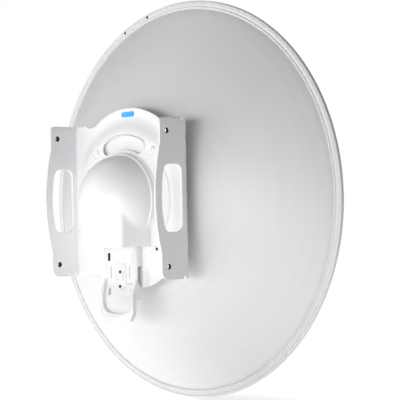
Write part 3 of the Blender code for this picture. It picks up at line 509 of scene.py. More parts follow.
def polar(radius, angle):
    """The (x, z) place at a radius from the dish's axis and an angle in degrees from +x."""
    return radius * math.cos(math.radians(angle)), radius * math.sin(math.radians(angle))


def four_around(radius, angle):
    """Four places a quarter turn apart."""
    return [polar(radius, angle + 90 * number) for number in range(4)]


def stations(start, end, step):
    """Even values from start to end, about a step apart."""
    count = max(1, round(abs(end - start) / step))
    return [start + (end - start) * index / count for index in range(count + 1)]


print("corners of a square:", [[round(v, 3) for v in corner] for corner in four_around(1.0, 45.0)])

# %% Helpers that build solids
def bridge(builder, rings):
    """Faces between each ring of vertices and the next. A ring may be one vertex repeated."""
    for ring, following in zip(rings, rings[1:]):
        for index in range(len(ring)):
            after = (index + 1) % len(ring)
            corners = list(dict.fromkeys([ring[index], ring[after], following[after], following[index]]))
            if len(corners) > 2:
                builder.faces.new(corners)


def lathe(profile, steps, place=(0, 0)):
    """A closed (radius, y) profile turned about an axis along Y through an (x, z) place."""
    builder = bmesh.new()
    turn = [2 * math.pi * step / steps for step in range(steps)]
    rings = []
    for radius, y in profile:
        spots = [(place[0] + radius * math.cos(a), y, place[1] + radius * math.sin(a)) for a in turn]
        if radius == 0:
            rings.append([builder.verts.new(spots[0])] * steps)
        else:
            rings.append([builder.verts.new(spot) for spot in spots])
    bridge(builder, rings + rings[:1])
    return builder


def disc(radius, start, end):
    """The profile of a plain disc or rod, for the lathe."""
    return [(0, start), (radius, start), (radius, end), (0, end)]


def drill(radius, place, low=-0.20, high=-0.05, steps=24):
    """A round cutter along Y through an (x, z) place."""
    return lathe(disc(radius, low, high), steps, place)


def stack(levels, axis):
    """Outlines of one length joined in order. Each level is an outline and its place on the axis."""
    order = {"X": (2, 0, 1), "Y": (0, 2, 1), "Z": (0, 1, 2)}[axis]
    builder = bmesh.new()
    rings = []
    for outline, w in levels:
        spots = [[(u, v, w)[index] for index in order] for u, v in outline]
        rings.append([builder.verts.new(spot) for spot in spots])
    builder.faces.new(rings[0])
    builder.faces.new(list(reversed(rings[-1])))
    bridge(builder, rings)
    return builder


def prism(outline, start, end, axis):
    """An outline pushed along one axis. It is read as (x, z) for Y, (y, z) for X and (x, y) for Z."""
    return stack([(outline, start), (outline, end)], axis)


def box(low, high):
    (x0, y0, z0), (x1, y1, z1) = low, high
    return prism([(x0, y0), (x1, y0), (x1, y1), (x0, y1)], z0, z1, "Z")


print("faces of a box:", len(box((0, 0, 0), (1, 1, 1)).faces))

# %% Helpers that make and shape objects
SMOOTH_ANGLE = 32.0


def smooth(mesh):
    """Smooth shading, except at edges sharper than an angle."""
    mesh.shade_smooth()
    mesh.set_sharp_from_angle(angle=math.radians(SMOOTH_ANGLE))
    return mesh


def make_piece(name, builder):
    """An object on the dish's axis."""
    bmesh.ops.recalc_face_normals(builder, faces=builder.faces)
    mesh = bpy.data.meshes.new(name)
    builder.to_mesh(mesh)
    builder.free()
    piece = link(bpy.data.objects.new(name, smooth(mesh)))
    piece.location = DISH_CENTRE
    return piece


def settle(piece):
    """Keeps what the modifiers make, without the modifiers."""
    bpy.context.view_layer.update()
    graph = bpy.context.evaluated_depsgraph_get()
    shaped = bpy.data.meshes.new_from_object(piece.evaluated_get(graph))
    piece.modifiers.clear()
    piece.data = smooth(shaped)
    return piece


def combine(piece, builders, operation="DIFFERENCE"):
    """Cuts or joins solids into a piece one after the other, and removes them."""
    others = [make_piece("shape", builder) for builder in builders]
    for other in others:
        modifier = piece.modifiers.new(other.name, "BOOLEAN")
        modifier.operation = operation
        modifier.solver = "EXACT"
        modifier.object = other
    settle(piece)
    for other in others:
        bpy.data.objects.remove(other, do_unlink=True)
    return piece


def round_edges(piece, width, segments=2, angle=35.0):
    """Bevels the edges that are sharper than an angle, or those with a weight where it is None."""
    modifier = piece.modifiers.new("round_edges", "BEVEL")
    modifier.width = width
    modifier.segments = segments
    modifier.limit_method = "ANGLE" if angle else "WEIGHT"
    modifier.angle_limit = math.radians(angle or 0)
    modifier.harden_normals = True
    return settle(piece)


def dress(piece, material, slot, *stands_for):
    """Gives a piece its finish and its body, and hides the solids that it stands for. The slot is not used.
    """
    piece.data.materials.clear()
    piece.data.materials.append(material)
    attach(piece, "root")
    if stands_for:
        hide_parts(*stands_for)
    print(piece.name, "faces:", len(piece.data.polygons))


print("edges sharper than", SMOOTH_ANGLE, "degrees stay sharp")

# %% [markdown]
# ## Reflector
# The real dish is one disc of aluminium, pressed against a turning former. Its section is a
# parabola, so that every ray along the axis meets at the feed. At the rim the sheet turns flat,
# with a small raised bead where it leaves the bowl, and then rolls forward into a stiff lip behind
# a narrow crease. A profile turned in many steps gives all of that in one closed mesh.

# %% Sizes of the reflector
FOCAL_LENGTH = 0.2016
VERTEX_Y = -0.1224
DISH_SHEET = 0.0016
HUB_HOLE_RADIUS = 0.030
BOWL_RADIUS = 0.309
FLANGE_BACK_Y = -0.0030
BEAD_CENTRE = BOWL_RADIUS + 0.0046
BEAD_RADIUS = 0.0016
CREASE_DEPTH = 0.0010
LIP_ROLL = 0.0034
DISH_STEPS = 216
BOWL_STATIONS = 44
RIM_HOLE_CIRCLE = 0.3195
RIM_HOLES = [polar(RIM_HOLE_CIRCLE, angle) for angle in (105.0, 115.7)]
RIM_HOLE_RADIUS = 0.0022
BOLT_HOLE_RADIUS = 0.0034
BOLT_X = 0.0645
BOLT_Z = 0.0765
CORNERS = {
    "upper_left": (-BOLT_X, BOLT_Z),
    "upper_right": (BOLT_X, BOLT_Z),
    "lower_left": (-BOLT_X, -BOLT_Z),
    "lower_right": (BOLT_X, -BOLT_Z),
}


def bowl_y(radius):
    """Height of the reflecting surface."""
    return VERTEX_Y + radius * radius / (4 * FOCAL_LENGTH)


def bowl_back(radius):
    """The point of the back surface across the sheet from a point of the front one."""
    slope = radius / (2 * FOCAL_LENGTH)
    length = math.hypot(1, slope)
    return radius + DISH_SHEET * slope / length, bowl_y(radius) - DISH_SHEET / length


print("depth of the bowl in mm:", round((bowl_y(BOWL_RADIUS) - VERTEX_Y) * 1000, 1))

# %% Model the reflector
def dish_profile():
    """The section of the dish from the hub hole along the front, round the rim and back."""
    radii = stations(HUB_HOLE_RADIUS, BOWL_RADIUS, (BOWL_RADIUS - HUB_HOLE_RADIUS) / BOWL_STATIONS)
    front = [(radius, bowl_y(radius)) for radius in radii]
    back = [bowl_back(radius) for radius in reversed(radii[:-1])]
    flange = FLANGE_BACK_Y
    roll = RIM_RADIUS - LIP_ROLL
    rim = [(BOWL_RADIUS + 0.0024, flange + 0.0007), (BOWL_RADIUS + 0.0050, flange + DISH_SHEET)]
    rim += arc(roll - 0.0008, flange + LIP_ROLL, LIP_ROLL - DISH_SHEET, 270, 360, 4)
    rim += [(RIM_RADIUS - DISH_SHEET - 0.0008, LIP_FRONT_Y - 0.0004), (RIM_RADIUS - 0.0012, LIP_FRONT_Y)]
    rim += [(RIM_RADIUS - 0.0004, LIP_FRONT_Y - 0.0002), (RIM_RADIUS, LIP_FRONT_Y - 0.0008)]
    rim += arc(roll, flange + LIP_ROLL, LIP_ROLL, 0, -90, 6)
    rim += [(roll - 0.0007, flange + CREASE_DEPTH), (roll - 0.0014, flange)]
    rim += arc(BEAD_CENTRE, flange, BEAD_RADIUS, 0, -180, 10)
    rim += [(BOWL_RADIUS + 0.0022, flange + CREASE_DEPTH / 2), (BOWL_RADIUS + 0.0014, flange - 0.0008)]
    return front + rim + back


def model_reflector():
    reflector = make_piece("spun_reflector", lathe(dish_profile(), DISH_STEPS))
    cutters = [drill(RIM_HOLE_RADIUS, place, -0.02, 0.02, steps=20) for place in RIM_HOLES]
    cutters += [drill(BOLT_HOLE_RADIUS, place) for place in CORNERS.values()]
    return combine(reflector, cutters)


def model_rim_hole_shade():
    """Painted shade: blind dark plugs in the two rim holes, with a shallow bore in each, keep the holes
    dark.
    """
    front, back = FLANGE_BACK_Y + DISH_SHEET, FLANGE_BACK_Y - 0.0004
    profile = [(0, back + 0.0008), (0.0008, back + 0.0008), (0.0008, back)]
    profile += [(RIM_HOLE_RADIUS - 0.0001, back), (RIM_HOLE_RADIUS - 0.0001, front), (0, front)]
    first, second = [lathe(profile, 20, place) for place in RIM_HOLES]
    return combine(make_piece("rim_hole_shade_plugs", first), [second], "UNION")


dress(model_reflector(), DISH_PAINT, "painted_aluminium", "reflector")
# Painted shade: dark plugs that keep the rim holes dark
dress(model_rim_hole_shade(), SHADE_BLACK, "dark_steel")

# %% [markdown]
# ## Pole bracket
# The real bracket is one steel sheet: a flat blank is cut out with all of its holes, its middle is
# pressed into a raised round with a channel below it, and its two wings are folded back. The model
# is made in the same order. The blank is a flat outline in (u, z), where u runs across the sheet and
# round both folds. A constrained triangulation fills it and keeps every hole. Then one function
# says how far the press pushed each point, and another rolls the blank round the folds.

# %% Sizes of the bracket
SEAT_GAP = 0.0003
SHEET = 0.003
PLATE_BACK_Y = -0.1285
bracket_low, bracket_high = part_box("mount_bracket")
BRACKET_HALF_WIDTH = (bracket_high.x - bracket_low.x) / 2
HALF_HEIGHT = 0.1215
INNER_FOLD = 0.0015
FOLD_START = BRACKET_HALF_WIDTH - SHEET - INNER_FOLD
FOLD_ARC = INNER_FOLD * math.pi / 2
FOLD_END_Y = PLATE_BACK_Y - INNER_FOLD
BUMP_RADIUS = 0.134
BUMP_TOP_Z = 0.1450
BUMP_BOTTOM_Z = -0.1420
BUMP_END_X = 0.0760
SCALLOP_X = 0.0885
SCALLOP_RADIUS = 0.024
SCALLOP_DEPTH = 0.0033
WING_END_TOP_Y = -0.1829
WING_END_BOTTOM_Y = -0.1832
WING_BULGE_Y = -0.1945
WING_CORNER_TOP = 0.009
WING_CORNER_BOTTOM = 0.0125
RELIEF_Y = -0.1358
RELIEF_RADIUS = 0.0026
RELIEF_SINK = 0.0010
SLOT_RISE = 0.0006
WING_HOLE_Y = -0.1689
WING_HOLE_Z = 0.1017
WING_HOLE_RADIUS = 0.0044
RAISED_HEIGHT = 0.0102
RAISED_OUTER = 0.133
RAISED_INNER = 0.102
SIDE_FOOT_X = 0.1225
SIDE_TOP_X = 0.1075
CHANNEL_HALF = 0.0405
CHANNEL_SPREAD = 0.0055
WINDOW_INNER = 0.0752
WINDOW_OUTER = 0.1033
WINDOW_HALF_ANGLE = 33.0
WINDOWS = (0.0, 90.0, 180.0)
COLLAR_HEIGHT = 0.0025
COLLAR_FOOT = 0.0019
COLLAR_WIDTH = 0.0038
HUB_OPENING = 0.030
HUB_BOLTS = four_around(0.052, 47.0)
DIMPLE_RADIUS = 0.0088
DIMPLE_DEPTH = 0.0009
SCREW_HOLE = 0.0029
TRAY_SCREW_Z = (-0.1126, -0.1352)
print("bracket width in mm:", round(BRACKET_HALF_WIDTH * 2000, 1))


# %% [markdown]
# The blank's edge is drawn for the right half only, from the top middle round to the bottom middle,
# and mirrored. It runs along a wide round bump, dips in a shallow scallop, passes a small relief
# hole at the fold, and follows the wing, whose free edge swells beside the hand slot.

# %% Draw the blank
def unfolded(y):
    """How far across the blank a point of a wing lies, from its y on the folded bracket."""
    return FOLD_START + FOLD_ARC + FOLD_END_Y - y


def half_edge(sign):
    """The blank's edge from the middle to the wing, on the top or the bottom side."""
    peak = BUMP_TOP_Z if sign > 0 else -BUMP_BOTTOM_Z
    end = math.degrees(math.asin(BUMP_END_X / BUMP_RADIUS))
    points = arc(0, peak - BUMP_RADIUS, BUMP_RADIUS, 90, 90 - end, 24)
    middle = HALF_HEIGHT - SCALLOP_DEPTH + SCALLOP_RADIUS
    reach = math.degrees(math.acos((middle - HALF_HEIGHT) / SCALLOP_RADIUS))
    start = math.degrees(math.asin((SCALLOP_X - BUMP_END_X) / SCALLOP_RADIUS))
    points += arc(SCALLOP_X, middle, SCALLOP_RADIUS, 270 - start + 3, 270 + reach, 8)
    open_angle = math.degrees(math.asin(RELIEF_SINK / RELIEF_RADIUS))
    notch_z = HALF_HEIGHT - RELIEF_SINK
    points += arc(unfolded(RELIEF_Y), notch_z, RELIEF_RADIUS, 180 - open_angle, 360 + open_angle, 14)
    return [(u, sign * z) for u, z in points]


def free_edge():
    """The wing's outer end: round corners and a smooth swell beside the hand slot."""
    reach = 0.082
    radius = WING_CORNER_TOP
    points = arc(unfolded(WING_END_TOP_Y) - radius, HALF_HEIGHT - radius, radius, 90, 0, 8)
    for z in stations(reach, -reach, reach / 18):
        end = WING_END_BOTTOM_Y + (WING_END_TOP_Y - WING_END_BOTTOM_Y) * (z + reach) / (2 * reach)
        swell = 1 - (z / reach) ** 2
        points.append((unfolded(end + (WING_BULGE_Y - end) * swell), z))
    radius = WING_CORNER_BOTTOM
    return points + arc(unfolded(WING_END_BOTTOM_Y) - radius, radius - HALF_HEIGHT, radius, 0, -90, 8)


def blank_outline():
    right = half_edge(1) + free_edge() + list(reversed(half_edge(-1)))
    return right + [(-u, z) for u, z in reversed(right[1:-1])]


print("points on the blank's edge:", len(blank_outline()))

# %% Draw the windows and the hand slots
WINDOW_MIDDLE = (WINDOW_INNER + WINDOW_OUTER) / 2
WINDOW_HALF = (WINDOW_OUTER - WINDOW_INNER) / 2
WINDOW_SPREAD = WINDOW_HALF_ANGLE - math.degrees(WINDOW_HALF / WINDOW_MIDDLE)


def window_loop(middle_angle, inset):
    """A kidney about an angle in degrees from +x, with round ends, drawn in by inset."""
    half = WINDOW_HALF - inset
    first, last = middle_angle - WINDOW_SPREAD, middle_angle + WINDOW_SPREAD
    loop = arc(0, 0, WINDOW_MIDDLE + half, first, last, 40)
    for angle, turn in ((last, 0), (first, 180)):
        loop += arc(*polar(WINDOW_MIDDLE, angle), half, angle + turn, angle + turn + 180, 20)[1:-1]
        if turn == 0:
            loop += arc(0, 0, WINDOW_MIDDLE - half, last, first, 34)
    return loop


def into_window(x, z, middle_angle):
    """How far a point lies inside a window's outer edge, negative outside it."""
    angle = math.degrees(math.atan2(z, x)) - middle_angle
    angle = (angle + 180) % 360 - 180
    middle = polar(WINDOW_MIDDLE, middle_angle + max(-WINDOW_SPREAD, min(WINDOW_SPREAD, angle)))
    return WINDOW_HALF - math.dist((x, z), middle)


def hand_slot():
    """The hand slot of the right wing: straight towards the fold and bowed along the free edge."""
    front, back, half, corner, bulge = -0.1385, -0.1812, 0.0508, 0.012, 0.0042
    near = unfolded(front) + corner
    far = unfolded(back + bulge) - corner
    reach = half - corner
    loop = arc(near, half - corner, corner, 180, 90, 8)
    loop += arc(far, half - corner, corner, 90, 10, 8)
    for z in stations(reach, -reach, reach / 8)[1:-1]:
        loop.append((unfolded(back + bulge) + bulge * (1 - (z / reach) ** 2), z))
    loop += arc(far, corner - half, corner, -10, -90, 8)
    loop += arc(near, corner - half, corner, -90, -180, 8)
    return [(u, z + SLOT_RISE) for u, z in loop]


def blank_holes():
    holes = [window_loop(angle, COLLAR_WIDTH) for angle in WINDOWS]
    holes.append(circle(0, 0, HUB_OPENING, 64))
    slot = hand_slot()
    holes += [slot, [(-u, z) for u, z in slot]]
    for side in (-1, 1):
        for level in (-1, 1):
            holes.append(circle(side * unfolded(WING_HOLE_Y), level * WING_HOLE_Z, WING_HOLE_RADIUS, 32))
    screws = [*CORNERS.values(), *HUB_BOLTS, *[(0, z) for z in TRAY_SCREW_Z]]
    return holes + [circle(x, z, SCREW_HOLE, 20) for x, z in screws]


print("holes in the blank:", len(blank_holes()))


# %% [markdown]
# The press gives each point of the plate a height, measured backwards. The raised round, the
# channel, the rims round the windows and the dimples under the screws are smooth steps, so the
# sheet bends gently everywhere, as drawn metal does.

# %% Say what the press does
def smooth_step(value, width):
    """0 up to nothing, 1 past a width, and an even S between."""
    share = min(max(value / width, 0.0), 1.0)
    return share * share * (3 - 2 * share)


def press(x, z, under=0.0):
    """Height of the pressed sheet at a point of the plate. Under narrows the channel for the far side."""
    round_part = smooth_step(RAISED_OUTER - math.hypot(x, z), RAISED_OUTER - RAISED_INNER)
    round_part *= smooth_step(SIDE_FOOT_X - abs(x), SIDE_FOOT_X - SIDE_TOP_X)
    channel = smooth_step(CHANNEL_HALF + CHANNEL_SPREAD - under - abs(x), CHANNEL_SPREAD)
    channel *= smooth_step(-0.030 - z, 0.030)
    height = RAISED_HEIGHT * (1 - (1 - round_part) * (1 - channel))
    for angle in WINDOWS:
        inside = into_window(x, z, angle)
        if inside > 0:
            height += COLLAR_HEIGHT * smooth_step(inside, COLLAR_FOOT)
    dimple = math.hypot(abs(x) - BOLT_X, abs(z) - BOLT_Z)
    return height - DIMPLE_DEPTH * smooth_step(DIMPLE_RADIUS + 0.0006 - dimple, 0.0011)


def folded(u, z, far_side):
    """Where a point of the blank goes on the folded bracket, on the rear or the far side of the sheet."""
    side = 1 if u > 0 else -1
    beyond = abs(u) - FOLD_START
    thickness = SHEET if far_side else 0.0
    if beyond <= 0:
        return (u, PLATE_BACK_Y + thickness - press(u, z, 0.0024 if far_side else 0.0), z)
    turn = min(beyond, FOLD_ARC) / INNER_FOLD
    radius = INNER_FOLD + thickness
    x = FOLD_START + radius * math.sin(turn)
    y = FOLD_END_Y + radius * math.cos(turn) - max(beyond - FOLD_ARC, 0.0)
    return (side * x, y, z)


print("height of the raised round in mm:", round(press(0.0, 0.06) * 1000, 2))


# %% [markdown]
# The triangulation needs points inside the blank as well as on its edges: an even grid, closer
# columns at the folds and along the channel, and rings at the raised round, the windows and the
# dimples, where the sheet bends most.

# %% Scatter points over the blank
GRID_STEP = 0.0045
CROWDED = 0.0008


def blank_points():
    """Points where the sheet bends first, so that they win over the even grid."""
    points = []
    for angle in WINDOWS:
        for inset in stations(-0.0012, COLLAR_WIDTH - 0.0009, 0.00045):
            points += window_loop(angle, inset)
    for radius in stations(DIMPLE_RADIUS - 0.0018, DIMPLE_RADIUS + 0.0014, 0.0005):
        for x, z in CORNERS.values():
            points += circle(x, z, radius, 28)
    for side in (-1, 1):
        for u in stations(FOLD_START - 0.0012, FOLD_START + FOLD_ARC + 0.0012, 0.0005):
            points += [(side * u, z) for z in stations(-HALF_HEIGHT, HALF_HEIGHT, 0.004)]
        for u in stations(CHANNEL_HALF - 0.004, CHANNEL_HALF + CHANNEL_SPREAD + 0.001, 0.0008):
            points += [(side * u, z) for z in stations(-0.145, -0.050, 0.003)]
        for u in stations(SIDE_TOP_X, SIDE_FOOT_X, 0.0019):
            points += [(side * u, z) for z in stations(-HALF_HEIGHT, HALF_HEIGHT, 0.004)]
    for radius in stations(RAISED_INNER, RAISED_OUTER, 0.0022):
        points += circle(0, 0, radius, 200)
    reach = unfolded(WING_BULGE_Y)
    for u in stations(-reach, reach, GRID_STEP):
        points += [(u, z) for z in stations(BUMP_BOTTOM_Z, BUMP_TOP_Z, GRID_STEP)]
    return points


def spaced(points, taken, cell):
    """Leaves out the points that crowd one already taken."""
    filled = {(round(u / cell), round(z / cell)) for u, z in taken}
    kept = []
    for u, z in points:
        spot = (round(u / cell), round(z / cell))
        near = [(spot[0] + i, spot[1] + j) for i in (-1, 0, 1) for j in (-1, 0, 1)]
        if spot not in filled and sum(one in filled for one in near) < 4:
            filled.add(spot)
            kept.append((u, z))
    return kept


# %% Fill the blank with triangles, press it and fold it
def anticlockwise(loop):
    area = sum(a[0] * b[1] - b[0] * a[1] for a, b in zip(loop, loop[1:] + loop[:1]))
    return loop if area > 0 else list(reversed(loop))


def model_bracket():
    corners, outlines = [], []
    for loop in [blank_outline(), *blank_holes()]:
        outlines.append(list(range(len(corners), len(corners) + len(loop))))
        corners += anticlockwise(loop)
    points = corners + spaced(blank_points(), corners, CROWDED)
    flat, _, faces, _, _, inside = delaunay_2d_cdt([Vector(p) for p in points], [], outlines, 1, 1e-7)
    builder = bmesh.new()
    sides = [[builder.verts.new(folded(p.x, p.y, far)) for p in flat] for far in (False, True)]
    # A triangle inside the first outline alone is sheet, and one inside another too is a hole
    for a, b, c in [face for face, loops in zip(faces, inside) if list(loops) == [0]]:
        builder.faces.new((sides[0][a], sides[0][b], sides[0][c]))
        builder.faces.new((sides[1][c], sides[1][b], sides[1][a]))
    weight = builder.edges.layers.float.new("bevel_weight_edge")
    across = dict(zip(*sides))
    for edge in [edge for edge in builder.edges if edge.is_boundary and edge.verts[0] in across]:
        a, b = edge.verts
        for sharp in (edge, builder.edges.get((across[a], across[b]))):
            sharp[weight] = 1.0
        builder.faces.new((a, b, across[b], across[a]))
    return round_edges(make_piece("folded_bracket", builder), 0.0004, angle=None)


dress(model_bracket(), BRACKET_COAT, "powder_coat", "mount_bracket")


# %% [markdown]
# The four bolt holes of the wings are lined with a thin dark sleeve: painted shade that gives each hole the
# dark crescent it shows. All four stand out a little on the same side, as if pushed in from one end.

# %% Model the painted shade sleeves of the wing holes
SHADE_SLEEVE_WALL = 0.0005
SHADE_SLEEVE_LENGTHS = {-1: 0.0080, 1: 0.0048}


def model_hole_shade_sleeves():
    """Four thin sleeves, each a ring of a given section round an axis along X."""
    builder = bmesh.new()
    outer = WING_HOLE_RADIUS - 0.0001
    for side, length in SHADE_SLEEVE_LENGTHS.items():
        section = [(outer, 0.0), (outer, length), (outer - SHADE_SLEEVE_WALL, length), (outer - SHADE_SLEEVE_WALL, 0.0)]
        for level in (-1, 1):
            rings = []
            for radius, depth in section:
                spots = circle(WING_HOLE_Y, level * WING_HOLE_Z, radius, 32)
                x = side * BRACKET_HALF_WIDTH + SHEET * (side < 0) - depth
                rings.append([builder.verts.new((x, y, z)) for y, z in spots])
            bridge(builder, rings + rings[:1])
    return make_piece("wing_hole_shade_sleeves", builder)


# Painted shade: dark sleeves that darken the walls of the wing holes
dress(model_hole_shade_sleeves(), SHADE_BLACK, "powder_coat")

# %% [markdown]
# ## Radio cover
# The real cover is one plastic moulding: a dome that runs into a square chute, open below, with a
# round flange at its foot. A dome and a chute joined by a Boolean would meet in a hard crease, and
# the moulding has a soft hollow there, tight at the back and wide at the bracket. So the skin is
# found from a formula instead. It gives how far a point lies outside the dome and the chute, and
# blends the two. Rays from a point inside the cover look for the place where the result is zero.

# %% Sizes of the cover
cover_low, cover_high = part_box("radio_cover")
COVER_SEAT_Y = -0.1390
DOME_RADIUS = 0.0695
SHOULDER_Y = -0.1510
DOME_DEPTH = SHOULDER_Y + DISH_CENTRE.y - cover_low.y
CHUTE_HALF = 0.0500
CHUTE_BACK_Y = -0.1920
CHUTE_CORNER = 0.009
CHUTE_BOTTOM_Z = -0.0730
CHUTE_FLARE = 0.0078
FLARE_LENGTH = 0.044
COVER_WALL = 0.0025
SOFT_AT_BACK = 0.0020
SOFT_AT_SEAT = 0.009
RAYS_FROM = (0.0, -0.1500, -0.0200)
RAY_TURNS = 224
RAY_TILTS = 104


def outside_cover(x, y, z):
    """Distance outside the cover's skin, negative inside it, for arrays of points."""
    across = numpy.hypot(x, z)
    depth = numpy.maximum(SHOULDER_Y - y, 0)
    near = numpy.hypot(across / DOME_RADIUS, depth / DOME_DEPTH)
    slope = numpy.hypot(across / DOME_RADIUS ** 2, depth / DOME_DEPTH ** 2)
    dome = near * (near - 1) / numpy.maximum(slope, 1e-6)
    flare = 1 - numpy.clip((COVER_SEAT_Y - y) / FLARE_LENGTH, 0, 1) ** 2
    beside = numpy.abs(x) - (CHUTE_HALF + CHUTE_FLARE * flare - CHUTE_CORNER)
    behind = CHUTE_BACK_Y + CHUTE_CORNER - y
    corner = numpy.hypot(numpy.maximum(beside, 0), numpy.maximum(behind, 0))
    chute = corner + numpy.minimum(numpy.maximum(beside, behind), 0) - CHUTE_CORNER
    chute = numpy.maximum(chute, z)
    towards_seat = numpy.clip((y - CHUTE_BACK_Y) / 0.045, 0, 1) ** 2
    soft = SOFT_AT_BACK + (SOFT_AT_SEAT - SOFT_AT_BACK) * towards_seat
    overlap = numpy.maximum(soft - numpy.abs(dome - chute), 0)
    return numpy.minimum(dome, chute) - overlap ** 2 / (4 * soft)


print("depth of the dome in mm:", round(DOME_DEPTH * 1000, 1))


# %% [markdown]
# The skin and the hollow come from the same rays, the hollow one wall deeper. The hollow is then
# cut out, and two planes trim the flat seat on the bracket and the open mouth below.

# %% Model the cover
def cover_skin(inset):
    """A closed skin, a given depth inside the cover's outside. It runs on past the seat and the mouth."""
    tilts = numpy.linspace(0, math.pi, RAY_TILTS + 1)
    turns = numpy.arange(RAY_TURNS) * 2 * math.pi / RAY_TURNS
    tilt, turn = numpy.meshgrid(tilts, turns, indexing="ij")
    ray = (numpy.sin(tilt) * numpy.cos(turn), -numpy.cos(tilt), numpy.sin(tilt) * numpy.sin(turn))
    near, far = numpy.zeros(tilt.shape), numpy.full(tilt.shape, 0.3)
    for halving in range(26):
        middle = (near + far) / 2
        x, y, z = [start + middle * step for start, step in zip(RAYS_FROM, ray)]
        past = numpy.maximum(y - COVER_SEAT_Y - 0.006 - inset, CHUTE_BOTTOM_Z - 0.012 - inset - z)
        out = numpy.maximum(outside_cover(x, y, z) + inset, past) > 0
        near, far = numpy.where(out, near, middle), numpy.where(out, middle, far)
    spots = numpy.stack([start + near * step for start, step in zip(RAYS_FROM, ray)], axis=-1)
    builder = bmesh.new()
    rings = [[builder.verts.new(spots[0, 0])] * RAY_TURNS]
    rings += [[builder.verts.new(spot) for spot in row] for row in spots[1:-1]]
    rings.append([builder.verts.new(spots[-1, 0])] * RAY_TURNS)
    bridge(builder, rings)
    return builder


def cover_flange():
    """The round flange: a foot on the bracket, a short wall and a rounded arris."""
    profile = [(0.060, -0.1345), (0.0744, -0.1345), (0.0744, -0.1402)]
    profile += arc(0.0744, -0.1419, 0.0017, 90, 180, 4)[1:]
    profile += arc(0.0714, -0.1470, 0.0013, 0, -90, 4)
    return lathe(profile + [(0.060, -0.1483)], RAY_TURNS)


def trim(piece, place, outwards):
    """Cuts a closed piece off at a plane and closes it there again."""
    builder = bmesh.new()
    builder.from_mesh(piece.data)
    whole = builder.verts[:] + builder.edges[:] + builder.faces[:]
    cut = bmesh.ops.bisect_plane(builder, geom=whole, plane_co=place, plane_no=outwards, clear_outer=True)
    rim = [edge for edge in cut["geom_cut"] if isinstance(edge, bmesh.types.BMEdge)]
    bmesh.ops.triangle_fill(builder, edges=rim, use_beauty=True)
    bmesh.ops.recalc_face_normals(builder, faces=builder.faces)
    builder.to_mesh(piece.data)
    builder.free()


def model_cover():
    cover = make_piece("moulded_cover", cover_skin(0.0))
    combine(cover, [cover_flange()], "UNION")
    combine(cover, [cover_skin(COVER_WALL)])
    trim(cover, (0, COVER_SEAT_Y, 0), (0, 1, 0))
    trim(cover, (0, 0, CHUTE_BOTTOM_Z), (0, 0, -1))
    return round_edges(cover, 0.0004, angle=55.0)


dress(model_cover(), COVER_PLASTIC, "white_plastic", "radio_cover")

# %% [markdown]
# ## Cradle and clamp
# The real cradle is a plastic tray that the radio's lower end drops into. It stands on the bracket
# on two side walls, its floor bends back towards a deeper foot, and a raised lip runs round the
# foot in a U. The model joins the floor, the walls and the lip, trims them to one plan, and then
# cuts the slots. The clamp strip on the tray is a piece of its own, and so are the two blocks
# below, which the photograph doesn't show. Two dark screws run through all of them.

# %% Sizes of the cradle
TRAY_HALF = 0.0374
TRAY_FACE_Y = -0.1505
TRAY_FLOOR = 0.0025
TRAY_TOP_Z = -0.0460
TRAY_BOTTOM_Z = -0.1910
TRAY_WALL = 0.0028
LIP_WALL = 0.0054
TRAY_SEAT_Y = -0.1390
LIP_BACK_Y = -0.1600
LIP_FLOOR_Y = -0.1545
LIP_FACE_Y = -0.1525
STRIP_HALF = 0.0126
STRIP_HEIGHT = 0.0007
STRIP_TOP_Z = -0.0985
STRIP_BOTTOM_Z = -0.1440
BLOCK_HALF = 0.012
TRAY_FRONT_Y = TRAY_FACE_Y + TRAY_FLOOR
BEND_START_Z = -0.1270
BEND_LENGTH = 0.0280
SCREW_BORE = 0.0026
THROUGH = 0.0075
LATCH_SLOT = ((-0.0292, -0.0230), (-0.0957, -0.0832), THROUGH)

# Each opening in the floor: its span in x, its span in z, and how deep it goes
TRAY_OPENINGS = (
    LATCH_SLOT,
    ((0.0262, 0.0286), (-0.0965, -0.0800), 0.0004),
    ((-0.0219, -0.0207), (-0.1227, -0.1030), THROUGH),
    ((0.0207, 0.0219), (-0.1227, -0.1030), THROUGH),
    ((-0.0258, -0.0200), (-0.1490, -0.1380), THROUGH),
    ((0.0236, 0.0262), (-0.1325, -0.1299), 0.0020),
    ((0.0236, 0.0254), (-0.1411, -0.1393), 0.0020),
)


def mirrored(right):
    """An outline from its right half, mirrored to the left."""
    return right + [(-x, z) for x, z in reversed(right)]


def tray_plan():
    """The cradle seen from behind, in (x, z): a straight tray with a rounded lower end."""
    half = TRAY_HALF
    right = [(half - 0.0008, TRAY_TOP_Z), (half, TRAY_TOP_Z - 0.0012), (half, -0.1728), (0.0370, -0.1748)]
    right += [(0.0312, -0.1868), (0.0302, -0.1880), (0.0284, -0.1887)]
    return mirrored(right + [(0.0150, TRAY_BOTTOM_Z + 0.0007), (0.0060, TRAY_BOTTOM_Z)])


def lip_hollow(spread):
    """The space inside the U-shaped lip, in (x, z), wider all round by spread."""
    half = TRAY_HALF - LIP_WALL + spread
    foot = [(half - 0.0008, -0.1645), (half - 0.0032, -0.1688), (half - 0.0080, -0.1733)]
    foot += [(0.0180, -0.1755), (0.0110, -0.1767), (0.0040, -0.1771)]
    return mirrored([(half, -0.1220), (half, -0.1600)] + [(x, z - spread) for x, z in foot])


def floor_y(z):
    """The back of the tray's floor, which sinks in an even S towards the foot."""
    return TRAY_FACE_Y + (LIP_FLOOR_Y - TRAY_FACE_Y) * smooth_step(BEND_START_Z - z, BEND_LENGTH)


def follow_floor(start_z, end_z, lift):
    """Points along the floor's back in (y, z), a given height behind it."""
    return [(floor_y(z) - lift, z) for z in stations(start_z, end_z, 0.0018)]


print("tray in mm:", [round(v * 1000, 1) for v in (2 * TRAY_HALF, TRAY_TOP_Z - TRAY_BOTTOM_Z)])


